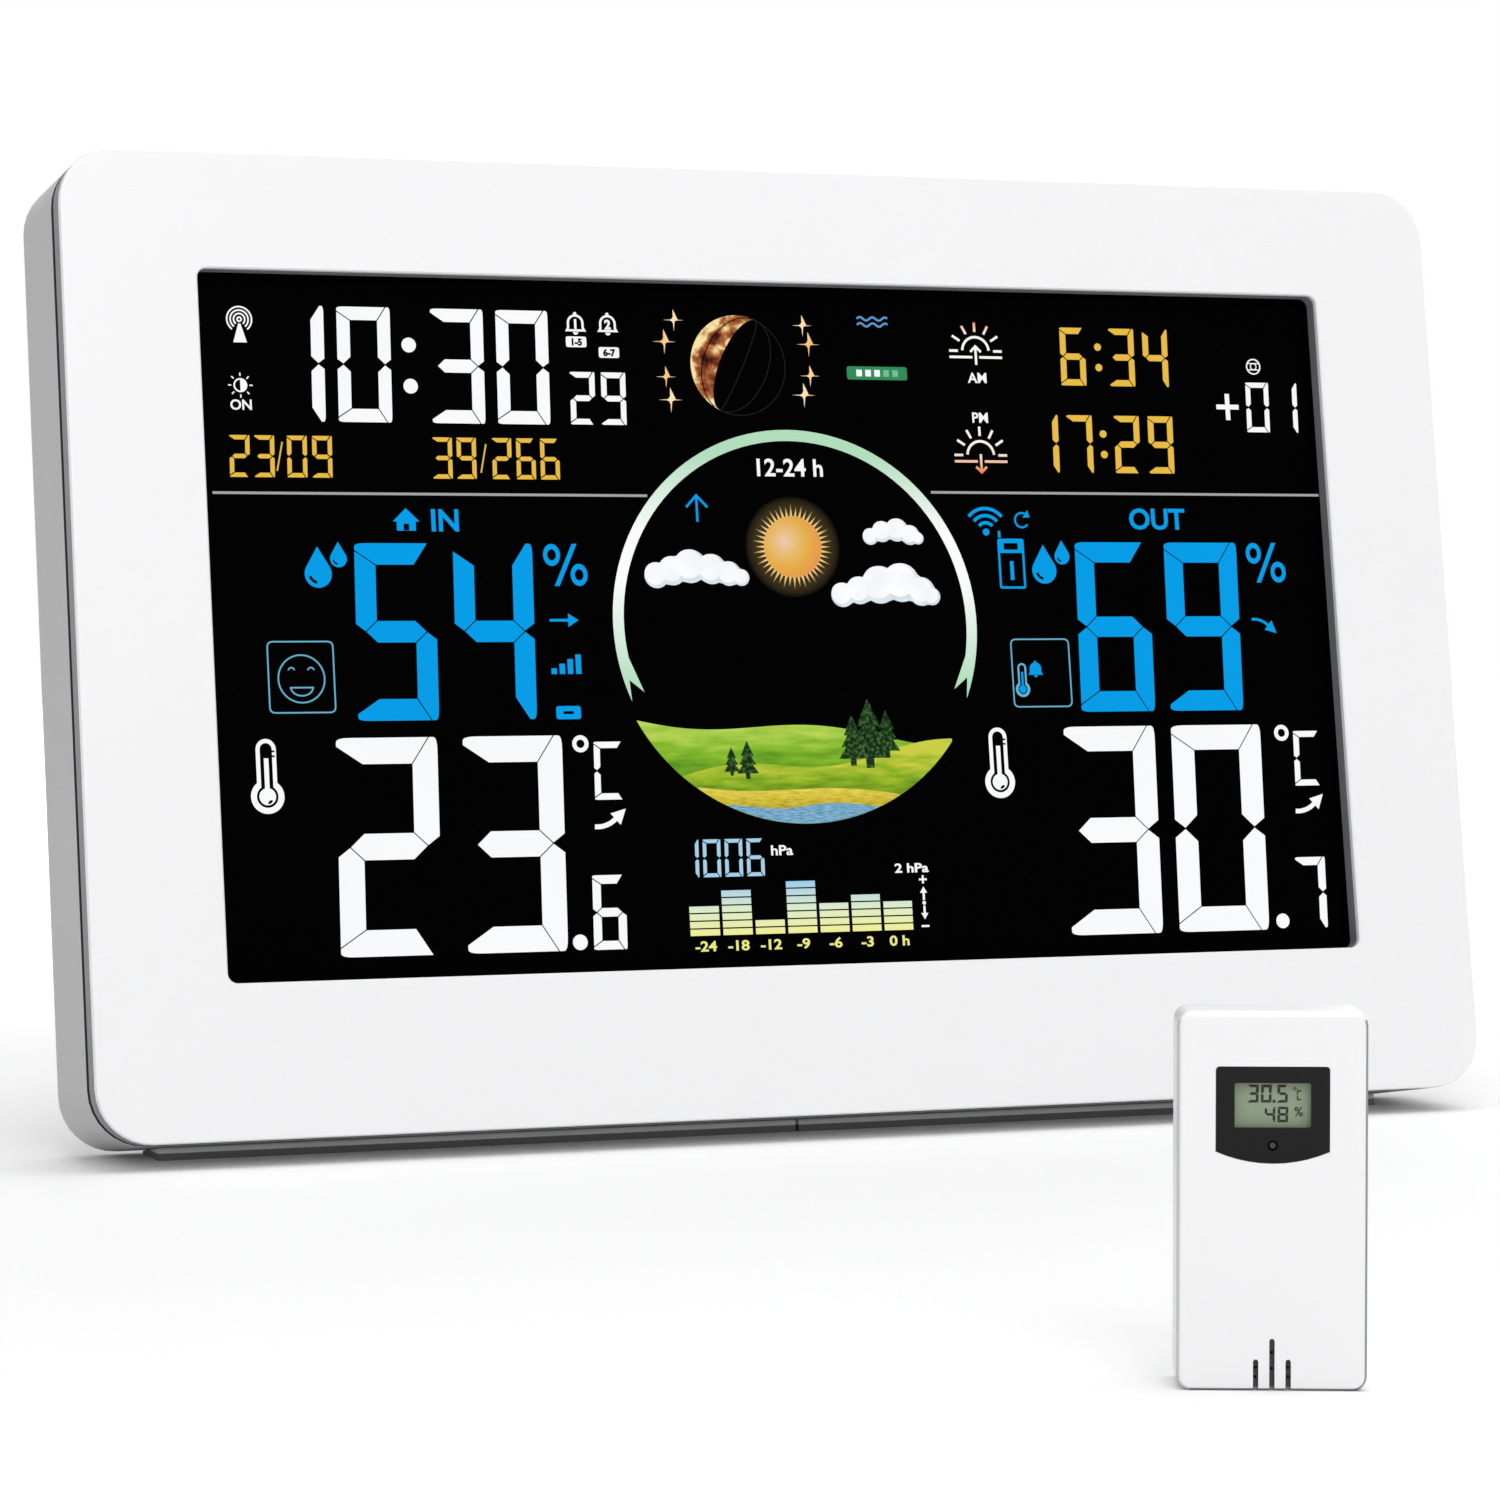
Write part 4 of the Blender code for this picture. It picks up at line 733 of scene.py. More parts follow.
def segment_shapes(width, height, stroke, gap):
    """Outlines of a digit's segments, from a at the top clockwise to f, and g across the middle."""
    w, h, t = width, height, stroke
    mid, step, half, point = h / 2, 0.34 * t, 0.5 * t, 0.46 * t
    tips = [(point, mid), (w - point, mid)]
    under, over = [[(t, y), (w - t, y)] for y in (mid - half, mid + half)]
    shapes = {
        "a": [(0, h), (0, h - step), (t, h - t), (w - t, h - t), (w - step, h)],
        "b": [(w, h), (w - step, h), (w - t, h - t), (w - t, mid + half), tips[1], (w, mid + step)],
        "c": [(w, 0), (w, mid - step), tips[1], (w - t, mid - half), (w - t, t), (w - step, 0)],
        "d": [(0, 0), (w - step, 0), (w - t, t), (t, t), (0, step)],
        "e": [(0, step), (t, t), (t, mid - half), tips[0], (0, mid - step)],
        "f": [(0, mid + step), tips[0], (t, mid + half), (t, h - t), (0, h - step)],
        "g": [tips[0], *under, tips[1], *over[::-1]],
    }
    made = {}
    for name, points in shapes.items():
        trimmed = inset(points, gap / 2)
        made[name] = softened(trimmed, half, (0,)) if name in "abcd" else trimmed
    return made


class Art:
    """Thin solids on one flat face, drawn in millimetres."""

    def __init__(self, name, place, look, gap=None):
        self.name = name
        self.place = place
        self.gap = gap or look.gap / MM
        self.slope = math.tan(look.slant)
        self.mesh = bmesh.new()
        self.inks = []

    def number_of(self, ink):
        if ink.material not in self.inks:
            self.inks.append(ink.material)
        return self.inks.index(ink.material)

    def fill(self, ink, outline, *holes, level=0):
        """One closed solid from just under the face to the top of its level."""
        number = self.number_of(ink)
        loops = [wound(outline, 1)] + [wound(hole, -1) for hole in holes]
        flat = [Vector((x, y, 0)) for loop in loops for x, y in loop]
        layers = []
        for height in (-INK_SINK, INK_RISE + level * INK_STEP):
            layers.append([self.mesh.verts.new((p.x * MM, p.y * MM, height * MM)) for p in flat])
        low, high = layers
        corners = []
        first = 0
        for loop in loops:
            ring = range(first, first + len(loop))
            first += len(loop)
            for i, here in enumerate(ring):
                before = ring[i - 1]
                corners.append((low[before], low[here], high[here], high[before]))
        caps = [range(len(flat))]
        if holes:
            caps = tessellate_polygon([[Vector((x, y, 0)) for x, y in loop] for loop in loops])
        for cap in caps:
            corners.append([high[i] for i in cap])
            corners.append([low[i] for i in reversed(cap)])
        for ends in corners:
            self.mesh.faces.new(ends).material_index = number

    def write(self, ink, text, x, y, height, align="CENTER", weight=0.0, level=0, wide=1.0):
        """Plain characters of Blender's own font, standing on y."""
        number = self.number_of(ink)
        thick = (INK_SINK + INK_RISE + level * INK_STEP) * MM
        curve = bpy.data.curves.new("characters", "FONT")
        curve.body = text
        curve.size = height * MM / CAPITAL
        curve.align_x = align
        curve.offset = weight * MM
        curve.resolution_u = 3
        curve.extrude = thick / 2
        holder = bpy.data.objects.new("characters", curve)
        shape = bpy.data.meshes.new_from_object(holder)
        shape.transform(Matrix.Diagonal((wide, 1.0, 1.0, 1.0)))
        shape.transform(Matrix.Translation((x * MM, y * MM, thick / 2 - INK_SINK * MM)))
        count = len(self.mesh.verts)
        faces = len(self.mesh.faces)
        self.mesh.from_mesh(shape)
        self.mesh.verts.ensure_lookup_table()
        self.mesh.faces.ensure_lookup_table()
        for face in self.mesh.faces[faces:]:
            face.material_index = number
        bmesh.ops.remove_doubles(self.mesh, verts=self.mesh.verts[count:], dist=SAME_POINT * MM)
        bpy.data.objects.remove(holder)
        bpy.data.curves.remove(curve)
        bpy.data.meshes.remove(shape)

    def digits(self, ink, text, x, y, size):
        """Segment characters, the first with its lower left corner at x, y."""
        shapes = segment_shapes(size.width, size.height, size.stroke, self.gap)
        for i, character in enumerate(text):
            left = x + i * size.pitch
            for name in SEGMENTS[character]:
                leaning = [(left + px + py * self.slope, y + py) for px, py in shapes[name]]
                self.fill(ink, leaning)

    def ring(self, ink, x, y, inner, outer, steps=28):
        self.fill(ink, disc(x, y, outer, steps), disc(x, y, inner, steps))

    def framed(self, ink, left, low, right, high, radius, width):
        """A rounded box drawn as a line."""
        inner = bar(left + width, low + width, right - width, high - width)
        outer = softened(bar(left, low, right, high), radius)
        self.fill(ink, outer, softened(inner, max(radius - width, 0.1)))

    def arrow(self, ink, x, y, length, width, turn, head):
        """Arrow about a middle point, to the right before it is turned."""
        tail, base, half, side = -length / 2, length / 2 - head, width / 2, head * 0.62
        upper = [(length / 2, 0), (base, side), (base, half), (tail, half)]
        lower = [(tail, -half), (base, -half), (base, -side)]
        self.fill(ink, moved(lower + upper, x, y, turn))

    def done(self, body, slot):
        """Turns the drawing into a piece that rides on a body."""
        bmesh.ops.recalc_face_normals(self.mesh, faces=self.mesh.faces)
        data = bpy.data.meshes.new(self.name)
        self.mesh.to_mesh(data)
        self.mesh.free()
        for material in self.inks:
            data.materials.append(material)
        piece = bpy.data.objects.new(self.name, data)
        bpy.context.scene.collection.objects.link(piece)
        piece.matrix_world = self.place
        bpy.context.view_layer.update()
        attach(piece, body)


INKS = {}


def lit_ink(name, colour):
    """Backlit ink, made once: black, without gloss, and lit in the colour that a function gives."""
    if name not in INKS:
        ink = Finish("lit_" + name, Base_Color=(0, 0, 0), Roughness=0.5, Specular=0.0)
        ink.give(Emission_Color=colour(ink), Emission_Strength=1.0)
        INKS[name] = ink
    return INKS[name]


def lit(name, colour):
    """Ink of one colour, a little uneven as the light behind it is."""
    return lit_ink(name, lambda ink: ink.mixed(ink.noise(0.035), scaled(colour, 0.93), colour))


def dark_ink():
    """Ink as dark as the display, for details on lit shapes."""
    return lit("dark", tint(4, 4, 5))


def lit_ramp(name, axis, low, high, stops):
    """Ink that changes colour from one place to another along an axis, in millimetres."""
    return lit_ink(name, lambda ink: ink.ramp((ink.along(axis) - low) / (high - low), stops))


def lit_round(name, x, y, radius, stops):
    """Ink that changes colour outwards from a point, in millimetres."""
    return lit_ink(name, lambda ink: ink.ramp(ink.from_point(x, y) / radius, stops))


def even(colours):
    """Evenly spaced stops of a ramp."""
    return [(i / (len(colours) - 1), colour) for i, colour in enumerate(colours)]


def lit_slope(name, low, high, colours, grain):
    """Ink that changes colour up a slope, with a grain drawn out along it."""

    def colour(ink):
        drift = ink.noise(grain, 4.0, (1.0, 5.0, 1.0)) - 0.5
        return ink.ramp((ink.along("Y") - low) / (high - low) + 1.3 * drift, even(colours))

    return lit_ink(name, colour)


def lit_grain(name, colours, grain, detail, stretch=None, spread=0.4, limb=None):
    """Ink with a soft grain of the given colours, towards the last one at the limb of a disc."""

    def colour(ink):
        share = (ink.noise(grain, detail, stretch) - 0.5) / spread + 0.5
        if limb:
            x, y, radius = limb
            share = share + 0.45 * (ink.from_point(x, y) / radius) ** 7.0
        return ink.ramp(share, even(colours))

    return lit_ink(name, colour)


def bell(art, ink, x, y, size, filled=False):
    """Alarm bell with its knob and clapper, outlined or filled."""
    rim = [(-1.35, -0.45), (-1.7, -1.05), (1.7, -1.05), (1.35, -0.45)]
    hollow = [(-1.0, -0.5), (-1.08, -0.72), (1.08, -0.72), (1.0, -0.5)]
    outer = arc(0, 0.25, 1.35, 0, 180, 14) + rim
    inner = arc(0, 0.25, 1.0, 0, 180, 14) + hollow
    shapes = (outer,) if filled else (outer, inner)
    art.fill(ink, *(moved(shape, x, y, size=size) for shape in shapes))
    art.fill(ink, moved(half_disc(0, -1.15, 0.42, 180, 8), x, y, size=size))
    art.fill(ink, disc(x, y + 1.7 * size, 0.27 * size, 10))


def thermometer(art, ink, liquid, x, y, size):
    """Thermometer: an outlined tube with a bulb and its column."""
    glass = arc(0, 9.3, 1.5, 0, 180, 10) + arc(0, 2.48, 2.48, 127, 413, 24)
    bore = arc(0, 9.3, 0.9, 0, 180, 10) + arc(0, 2.48, 1.6, 124, 416, 22)
    column = [(0.34, 8.0), (-0.34, 8.0)] + arc(0, 2.48, 1.24, 106, 434, 20)
    art.fill(ink, moved(glass, x, y, size=size), moved(bore, x, y, size=size))
    art.fill(liquid, moved(column, x, y, size=size))


def large_thermometer(art, ink, x, y, size):
    """Thermometer with two notches in its tube and a glint on its bulb."""
    thermometer(art, ink, ink, x, y, size)
    glint = [(px, 0.5 * py) for px, py in disc(0, 0, 0.42, 16)]
    details = [moved(glint, 0.36, 1.7, 35)]
    details += [bar(0.8, low, 1.28, low + 0.26) for low in (8.15, 8.85)]
    for detail in details:
        art.fill(dark_ink(), moved(detail, x, y, size=size), level=1)


def drops(art, ink, x, y):
    """A large and a small water drop, each with a highlight."""
    for dx, dy, size in ((0.0, 0.0, 1.0), (3.7, 2.6, 0.62)):
        shapes = (drop(0, 0, 2.4, 4.7), band(0, 0, 1.25, 1.75, 195, 260, 8))
        art.fill(ink, *(moved(shape, x + dx, y + dy, size=size) for shape in shapes))


def percent(art, ink, x, y):
    """Percent sign with upright ovals, from its lower left corner."""
    ovals = [[(px, 1.25 * py) for px, py in disc(0, 0, radius)] for radius in (1.55, 0.8)]
    for middle, height in ((1.6, 5.45), (6.5, 1.95)):
        art.fill(ink, *(moved(oval, x + middle, y + height) for oval in ovals))
    art.fill(ink, [(x + 1.9, y), (x + 2.8, y), (x + 6.3, y + 7.4), (x + 5.4, y + 7.4)])


def degrees(art, ink, x, y):
    """Degree ring and a segment C, the C from its lower left corner."""
    art.ring(ink, x - 2.1, y + 9.9, 0.75, 1.5, 20)
    art.digits(ink, "C", x, y, DEGREE_SIZE)


def bent_arrow(art, ink, x, y, size, flip, width):
    """Trend arrow that sets out level and bends up, or down for a flip of -1."""
    path = line(arc(0.0, 4.4, 4.4, -96, -45, 12), width)
    head = [(4.75, 2.75), (2.2, 2.05), (3.8, 0.25)]
    for part in (path, head):
        art.fill(ink, moved([(px, py * flip) for px, py in part], x, y, size=size))


def house(art, ink, x, y):
    """House sign with an open door."""
    art.fill(ink, [(x - 2.4, y + 1.6), (x + 2.4, y + 1.6), (x, y + 3.9)])
    art.fill(ink, bar(x - 1.7, y, x + 1.7, y + 1.8), bar(x - 0.5, y + 0.05, x + 0.5, y + 1.2))


class STATION_OT_finishes(bpy.types.Operator):
    """Give every CAD node its finish and shade its rounds smooth"""

    bl_idname = "station.finishes"
    bl_label = "Finishes"
    bl_options = {"REGISTER", "UNDO"}

    def execute(self, context):
        look = context.scene.shell_look
        by_slot = finishes(look)
        by_node = zoned_finishes(look)
        edges = true_edges()
        for subpart in SUBPARTS:
            name = subpart["node"]
            finish = by_node.get(name) or by_slot[subpart["material_slot"]]
            dress(frame["nodes"][name], finish, edges)
        return {"FINISHED"}


class STATION_OT_clock(bpy.types.Operator):
    """Draw the clock, the date, the alarms and the radio signs"""

    bl_idname = "station.clock"
    bl_label = "Clock"
    bl_options = {"REGISTER", "UNDO"}
    hour_size = DigitSize(9.75, 20.3, 2.5, 11.9)
    second_size = DigitSize(4.75, 9.5, 1.2, 5.75)
    date_size = DigitSize(3.7, 7.4, 0.95, 4.35)

    def execute(self, context):
        look = context.scene.display_look
        art = Art("clock_art", screen_frame(), look)
        white = lit("white", look.white)
        self.signs(art, white)
        self.time(art, white)
        self.date(art, lit("amber", look.amber))
        self.alarms(art, white)
        art.fill(lit("grey", look.grey), bar(2.0, 83.15, 80.4, 83.6))
        art.done("console", "display")
        return {"FINISHED"}

    def time(self, art, white):
        for text, x in (("10", 12.85), ("30", 41.6)):
            art.digits(white, text, x, 95.7, self.hour_size)
        for y in (102.2, 109.4):
            art.fill(white, disc(38.0, y, 1.3))
        art.digits(white, "29", 66.9, 95.8, self.second_size)

    def date(self, art, amber):
        """Two pairs of numbers, each with a slash between them."""
        foot = 86.0
        pairs = (("23", 5.1, 13.5, "09", 15.2, 4.45), ("39", 41.2, 50.0, "266", 52.0, 4.4))
        for first, x, slash, second, after, pitch in pairs:
            art.digits(amber, first, x, foot, self.date_size)
            art.fill(amber, line([(slash, foot + 1.2), (slash + 1.1, foot + 6.2)], 0.26))
            art.digits(amber, second, after, foot, self.date_size._replace(pitch=pitch))

    def signs(self, art, white):
        """Radio mast above, lamp sign below."""
        x, y = 8.0, 113.3
        art.ring(white, x, y, 0.22, 0.5, 14)
        for inner in (0.85, 1.45, 2.05):
            art.fill(white, band(x, y, inner, inner + 0.27, -52, 232))
        mast = [(-1.2, -4.0), (1.2, -4.0), (0.2, -0.75), (-0.2, -0.75)]
        art.fill(white, moved(mast, x, y))
        x, y = 7.7, 101.9
        art.ring(white, x, y, 0.95, 1.22)
        art.fill(white, half_disc(x, y, 1.0, -90, 12))
        for i in range(8):
            art.fill(white, moved(bar(1.6, -0.11, 2.15, 0.11), x, y, 45 * i))
        art.write(white, "ON", x, y - 4.2, 1.8, weight=0.05)

    def alarms(self, art, white):
        for number, x, tag_y, days in (("1", 68.7, 109.6, "1-5"), ("2", 74.7, 107.8, "6-7")):
            bell(art, white, x, 113.6, 1.15)
            art.write(white, number, x, 112.95, 1.65, weight=0.1)
            art.fill(white, softened(bar(x - 1.9, tag_y, x + 1.9, tag_y + 1.9), 0.4))
            art.write(dark_ink(), days, x, tag_y + 0.35, 1.2, weight=0.09, level=1)


class STATION_OT_sky(bpy.types.Operator):
    """Draw the moon, the stars, the sun times and the sea level"""

    bl_idname = "station.sky"
    bl_label = "Sky"
    bl_options = {"REGISTER", "UNDO"}
    moon_middle = (98.9, 106.9)
    moon_radius = 9.0
    rise_size = DigitSize(5.25, 10.9, 1.35, 6.85)
    set_size = DigitSize(5.25, 10.8, 1.35, 6.85)
    zone_size = DigitSize(4.9, 9.5, 1.15, 5.9)

    def execute(self, context):
        look = context.scene.display_look
        art = Art("sky_art", screen_frame(), look)
        self.moon(art)
        self.stars(art)
        self.sea(art, look)
        self.sun_times(art, look)
        self.zone(art, lit("white", look.white))
        art.fill(lit("grey", look.grey), bar(134.8, 84.15, 213.4, 84.6))
        art.done("console", "display")
        return {"FINISHED"}

    def moon(self, art):
        x, y = self.moon_middle
        radius = self.moon_radius
        turn = -26
        shades = (tint(52, 20, 16), tint(112, 50, 34), tint(178, 108, 58), tint(252, 226, 164))
        lunar = lit_grain("moon", shades, 0.0026, 6.0, spread=0.3, limb=(x, y, radius))
        dim = lit("dim", tint(34, 33, 34))

        def meridian(bulge, start, end):
            angles = [math.radians(angle) for angle in range(start, end, 6)]
            return [(radius * bulge * math.sin(angle), radius * math.cos(angle)) for angle in angles]

        for bulge in (-0.45, 0.1, 0.62):
            art.fill(dim, moved(line(meridian(bulge, 4, 177), 0.16), x, y, turn))
        art.ring(dim, x, y, radius - 0.08, radius + 0.08, 64)
        limb = arc(0, 0, radius, 90, 270, 30) + meridian(-0.38, 6, 175)[::-1]
        art.fill(lunar, moved(limb, x, y, turn), level=1)
        art.fill(dark_ink(), moved(line(meridian(-0.72, 8, 173), 0.18), x, y, turn), level=2)

    def stars(self, art):
        x, y = self.moon_middle
        cream = lit_grain("cream", (tint(250, 190, 110), tint(255, 232, 190)), 0.004, 1.0)
        left = ((-11.8, 7.9), (-13.8, 4.0), (-13.8, -2.3), (-13.1, -6.4))
        right = ((12.7, 7.4), (13.7, 4.0), (13.7, -1.7), (12.3, -5.2))
        for i, (dx, dy) in enumerate(left + right):
            art.fill(cream, spark(x + dx, y + dy, 2.2 if i % 2 else 1.9))

    def sea(self, art, look):
        """Two waves, and a tag with three of five pips lit."""
        dim = lit("dim_blue", tint(96, 152, 205))
        for y in (114.7, 115.8):
            path = [(122.3 + 0.35 * i, y + 0.32 * math.sin(0.9 * i)) for i in range(18)]
            art.fill(dim, line(path, 0.36))
        art.fill(lit("green", look.green), softened(bar(119.8, 104.7, 131.5, 107.1), 0.5))
        for i in range(5):
            pip = lit("white", look.white) if i < 3 else lit("green_pale", tint(120, 190, 150))
            left = 121.6 + 1.75 * i
            art.fill(pip, bar(left, 105.3, left + 1.1, 106.5), level=1)

    def sun_times(self, art, look):
        amber = lit("amber", look.amber)
        pale, peach, ember = tint(255, 250, 238), tint(248, 210, 184), tint(232, 126, 78)
        rise = lit_ramp("sunrise", "Y", 109.3, 116.0, ((0.55, pale), (0.75, peach), (1.0, ember)))
        fall = lit_ramp("sunset", "Y", 88.0, 96.5, ((0.0, ember), (0.3, peach), (0.6, pale)))
        self.half_sun(art, rise, 145.3, 110.25, 0.9, -2.45)
        self.half_sun(art, fall, 145.1, 91.15, -3.05, 0.25)
        for half, y in (("AM", 104.5), ("PM", 97.2)):
            art.write(lit("white", look.white), half, 145.4, y, 1.9, weight=0.05)
        art.digits(amber, "6", 162.0, 104.2, self.rise_size)
        art.digits(amber, "34", 171.9, 104.2, self.rise_size)
        art.digits(amber, "17", 155.5, 88.1, self.set_size)
        art.digits(amber, "29", 171.9, 88.1, self.set_size)
        for y in (91.6, 95.4, 107.7, 111.5):
            art.fill(amber, disc(169.85, y, 0.7, 16))

    def half_sun(self, art, ink, x, y, tip, tail):
        """Half a sun with rays over two lines, and an open arrow from tail to tip."""
        art.fill(ink, band(x, y, 2.4, 2.85, 4, 176))
        for i in range(5):
            art.fill(ink, moved(bar(3.6, -0.22, 5.3, 0.22), x, y, 32 + 29 * i))
        for side in (-1, 1):
            art.fill(ink, bar(x + side * 3.5, y - 0.15, x + side * 5.2, y + 0.3))
            art.fill(ink, bar(x + side * 0.7, y - 1.3, x + side * 5.2, y - 0.85))
        barb = tip - math.copysign(1.0, tip)
        art.fill(ink, line([(x, y + tail), (x, y + tip)], 0.44))
        art.fill(ink, line([(x - 1.05, y + barb), (x, y + tip), (x + 1.05, y + barb)], 0.44))

    def zone(self, art, white):
        """Globe sign over the hours of a time zone."""
        x, y = 201.6, 108.4
        art.ring(white, x, y, 1.25, 1.5)
        art.ring(white, x, y, 0.5, 0.68, 16)
        for dy in (-0.6, 0.6):
            art.fill(white, bar(x - 1.2, y + dy - 0.09, x + 1.2, y + dy + 0.09))
        art.fill(white, bar(193.4, 100.3, 198.0, 101.2))
        art.fill(white, bar(195.25, 98.3, 196.15, 103.2))
        art.digits(white, "01", 199.4, 96.0, self.zone_size)


class STATION_OT_forecast(bpy.types.Operator):
    """Draw the forecast ring with its sun, clouds and hills"""

    bl_idname = "station.forecast"
    bl_label = "Forecast"
    bl_options = {"REGISTER", "UNDO"}
    middle = (107.5, 60.7)
    outer = 34.7
    inner = 32.7
    ends = (-23, 203)
    land_radius = 35.6
    land_step = 0.02
    tilt_span = 28.0
    sun_middle = (107.4, 74.4)
    ball_radius = 5.5
    halo_radius = 9.1
    rays = 44
    ray_foot = 5.3
    ray_tips = (7.2, 7.7)

    def execute(self, context):
        look = context.scene.display_look
        art = Art("forecast_art", screen_frame(), look)
        self.ribbon(art)
        self.sun(art)
        self.clouds(art)
        self.hills(art)
        blue = lit("blue", look.blue)
        art.fill(blue, line([(89.6, 78.8), (89.6, 83.2)], 0.42))
        art.fill(blue, line([(87.6, 81.4), (89.6, 83.5), (91.6, 81.4)], 0.42))
        art.write(lit("white", look.white), "12-24 h", 107.4, 87.1, 3.2, weight=0.08)
        art.done("console", "display")
        return {"FINISHED"}

    def ribbon(self, art):
        """Open ring with a notch and a pointed tail at each end."""
        x, y = self.middle
        mint, pale = tint(178, 222, 190), tint(250, 252, 251)
        stops = ((0.0, mint), (0.08, mint), (0.45, pale), (0.62, pale), (0.9, mint))
        ink = lit_ramp("ribbon", "Y", y - 15, y + 35, stops)
        start, end = self.ends
        outer = arc(x, y, self.outer, start, end, 72)
        inner = arc(x, y, self.inner, end, start, 72)
        notch = [arc(x, y, (self.outer + self.inner) / 2, a, a, 1)[0] for a in (end - 6, start + 6)]
        tails = [arc(x, y, self.inner - 0.8, a, a, 1)[0] for a in (end - 1, start + 1)]
        art.fill(ink, outer + [notch[0], tails[0]] + inner[4:-4] + [tails[1], notch[1]])

    def sun(self, art):
        x, y = self.sun_middle
        foot = self.ray_foot
        dusky = (tint(72, 54, 16), tint(60, 50, 26), tint(42, 36, 25), tint(4, 4, 3))
        flame = ((0.66, tint(246, 202, 136)), (0.78, tint(226, 196, 140)), (1.0, tint(96, 86, 62)))
        warm = (tint(237, 202, 174), tint(232, 187, 110), tint(229, 174, 74), tint(232, 146, 78))
        glow = lit_round("glow", x, y, self.halo_radius, list(zip((0.6, 0.78, 0.9, 1.0), dusky)))
        rays = lit_round("rays", x, y, 8.0, flame)
        ball = lit_round("ball", x - 1.5, y + 0.9, 8.2, list(zip((0.0, 0.3, 0.55, 0.95), warm)))
        art.fill(glow, disc(x, y, self.halo_radius, 48))
        for i in range(self.rays):
            ray = [(foot, -0.24), (self.ray_tips[i % 2], 0), (foot, 0.24)]
            art.fill(rays, moved(ray, x, y, 360 / self.rays * i), level=1)
        art.fill(ball, disc(x, y, self.ball_radius, 56), level=2)

    def clouds(self, art):
        """Grey clouds with white puffs on them, each puff given by its middle and radius."""
        low = lit_grain("cloud_low", (tint(206, 218, 228), tint(232, 238, 243)), 0.004, 3.0)
        high = lit_grain("cloud_high", (tint(240, 244, 248), tint(254, 254, 255)), 0.005, 3.0)
        wide = (
            (-7.6, 0.1, 2.3),
            (-4.6, 0.9, 2.6),
            (-1.2, 1.7, 3.0),
            (2.8, 1.2, 2.7),
            (6.0, 0.4, 2.2),
            (8.3, -0.3, 1.5),
        )
        small = (
            (-4.3, -0.2, 1.5),
            (-2.0, 0.7, 1.9),
            (0.9, 1.0, 2.1),
            (3.4, 0.1, 1.8),
            (4.9, -0.5, 1.1),
        )
        tall = (
            (-8.3, -0.6, 2.2),
            (-5.0, 0.2, 2.5),
            (-1.0, 1.2, 3.4),
            (3.2, 1.6, 3.5),
            (7.0, 0.0, 2.6),
            (9.0, -0.9, 1.6),
        )
        for x, y, circles in ((89.0, 69.2, wide), (126.8, 76.5, small), (124.8, 66.4, tall)):
            art.fill(low, moved(puffs(circles), x, y))
            for i, (cx, cy, r) in enumerate(circles):
                puff = disc(x + cx - 0.12 * r, y + cy + 0.13 * r, 0.86 * r, 24)
                art.fill(high, puff, level=1 + i % 2)

    def hills(self, art):
        """Hills, a field and a lake, each in a disc of its own so that no two share an edge."""
        grass = (tint(84, 140, 34), tint(132, 184, 46), tint(186, 214, 88))
        meadow = (tint(70, 118, 28), tint(140, 178, 40), tint(204, 206, 70))
        straw = (tint(150, 130, 34), tint(206, 186, 58), tint(236, 214, 92))
        needles = (tint(16, 38, 20), tint(30, 60, 30), tint(74, 106, 54))
        water = (tint(70, 130, 170), tint(150, 196, 220))
        far = lit_slope("far_hill", 33.0, 43.5, grass, 0.008)
        near = lit_slope("near_hill", 28.0, 38.0, meadow, 0.006)
        field = lit_slope("field", 26.0, 32.5, straw, 0.002)
        lake = lit_grain("lake", water, 0.0016, 2.0, (1.0, 9.0, 1.0))
        pine = lit_grain("pine", needles, 0.0006, 4.0, spread=0.3)
        crests = (
            (far, 41.6, -2.2, 1.1, 0.13, 1.2),
            (near, 36.0, 2.8, 1.2, 0.16, 3.9),
            (field, 31.0, -1.8, 0.7, 0.14, 0.4),
            (lake, 28.3, 0.0, 0.4, 0.3, 0.0),
        )
        for level, (ink, *crest) in enumerate(crests):
            radius = self.land_radius - self.land_step * level
            art.fill(ink, self.under(radius, *crest), level=level)
        right = ((15.8, 36.6, 1.5), (9.2, 35.2, 1.6), (12.4, 34.8, 2.2))
        left = ((-14.0, 33.8, 0.9), (-11.0, 33.2, 1.2))
        for dx, foot, size in right + left:
            self.conifer(art, pine, self.middle[0] + dx, foot, size)

    def under(self, radius, middle, tilt, swell, pitch, phase):
        """The part of a disc about the ring's middle below a crest line."""
        x, y = self.middle
        half = 90
        least = 0.02
        crest, floor = [], []
        for i in range(2 * half + 1):
            across = radius * (i / half - 1)
            top = middle + tilt * across / self.tilt_span + swell * math.sin(pitch * across + phase)
            low = y - math.sqrt(max(radius**2 - across**2, 0))
            if top > low + least:
                crest.append((x + across, top))
                floor.append((x + across, low))
        return crest + floor[::-1]

    def conifer(self, art, ink, x, foot, size):
        trunk = [(0.35, 0.0), (0.35, 0.8)]
        boughs = [(1.7, 0.8), (0.8, 2.1), (1.35, 2.1), (0.6, 3.4), (1.0, 3.4), (0.0, 5.6)]
        side = trunk + boughs
        outline = side + [(-px, py) for px, py in side[-2::-1]]
        art.fill(ink, moved(outline, x, foot, size=size), level=4)


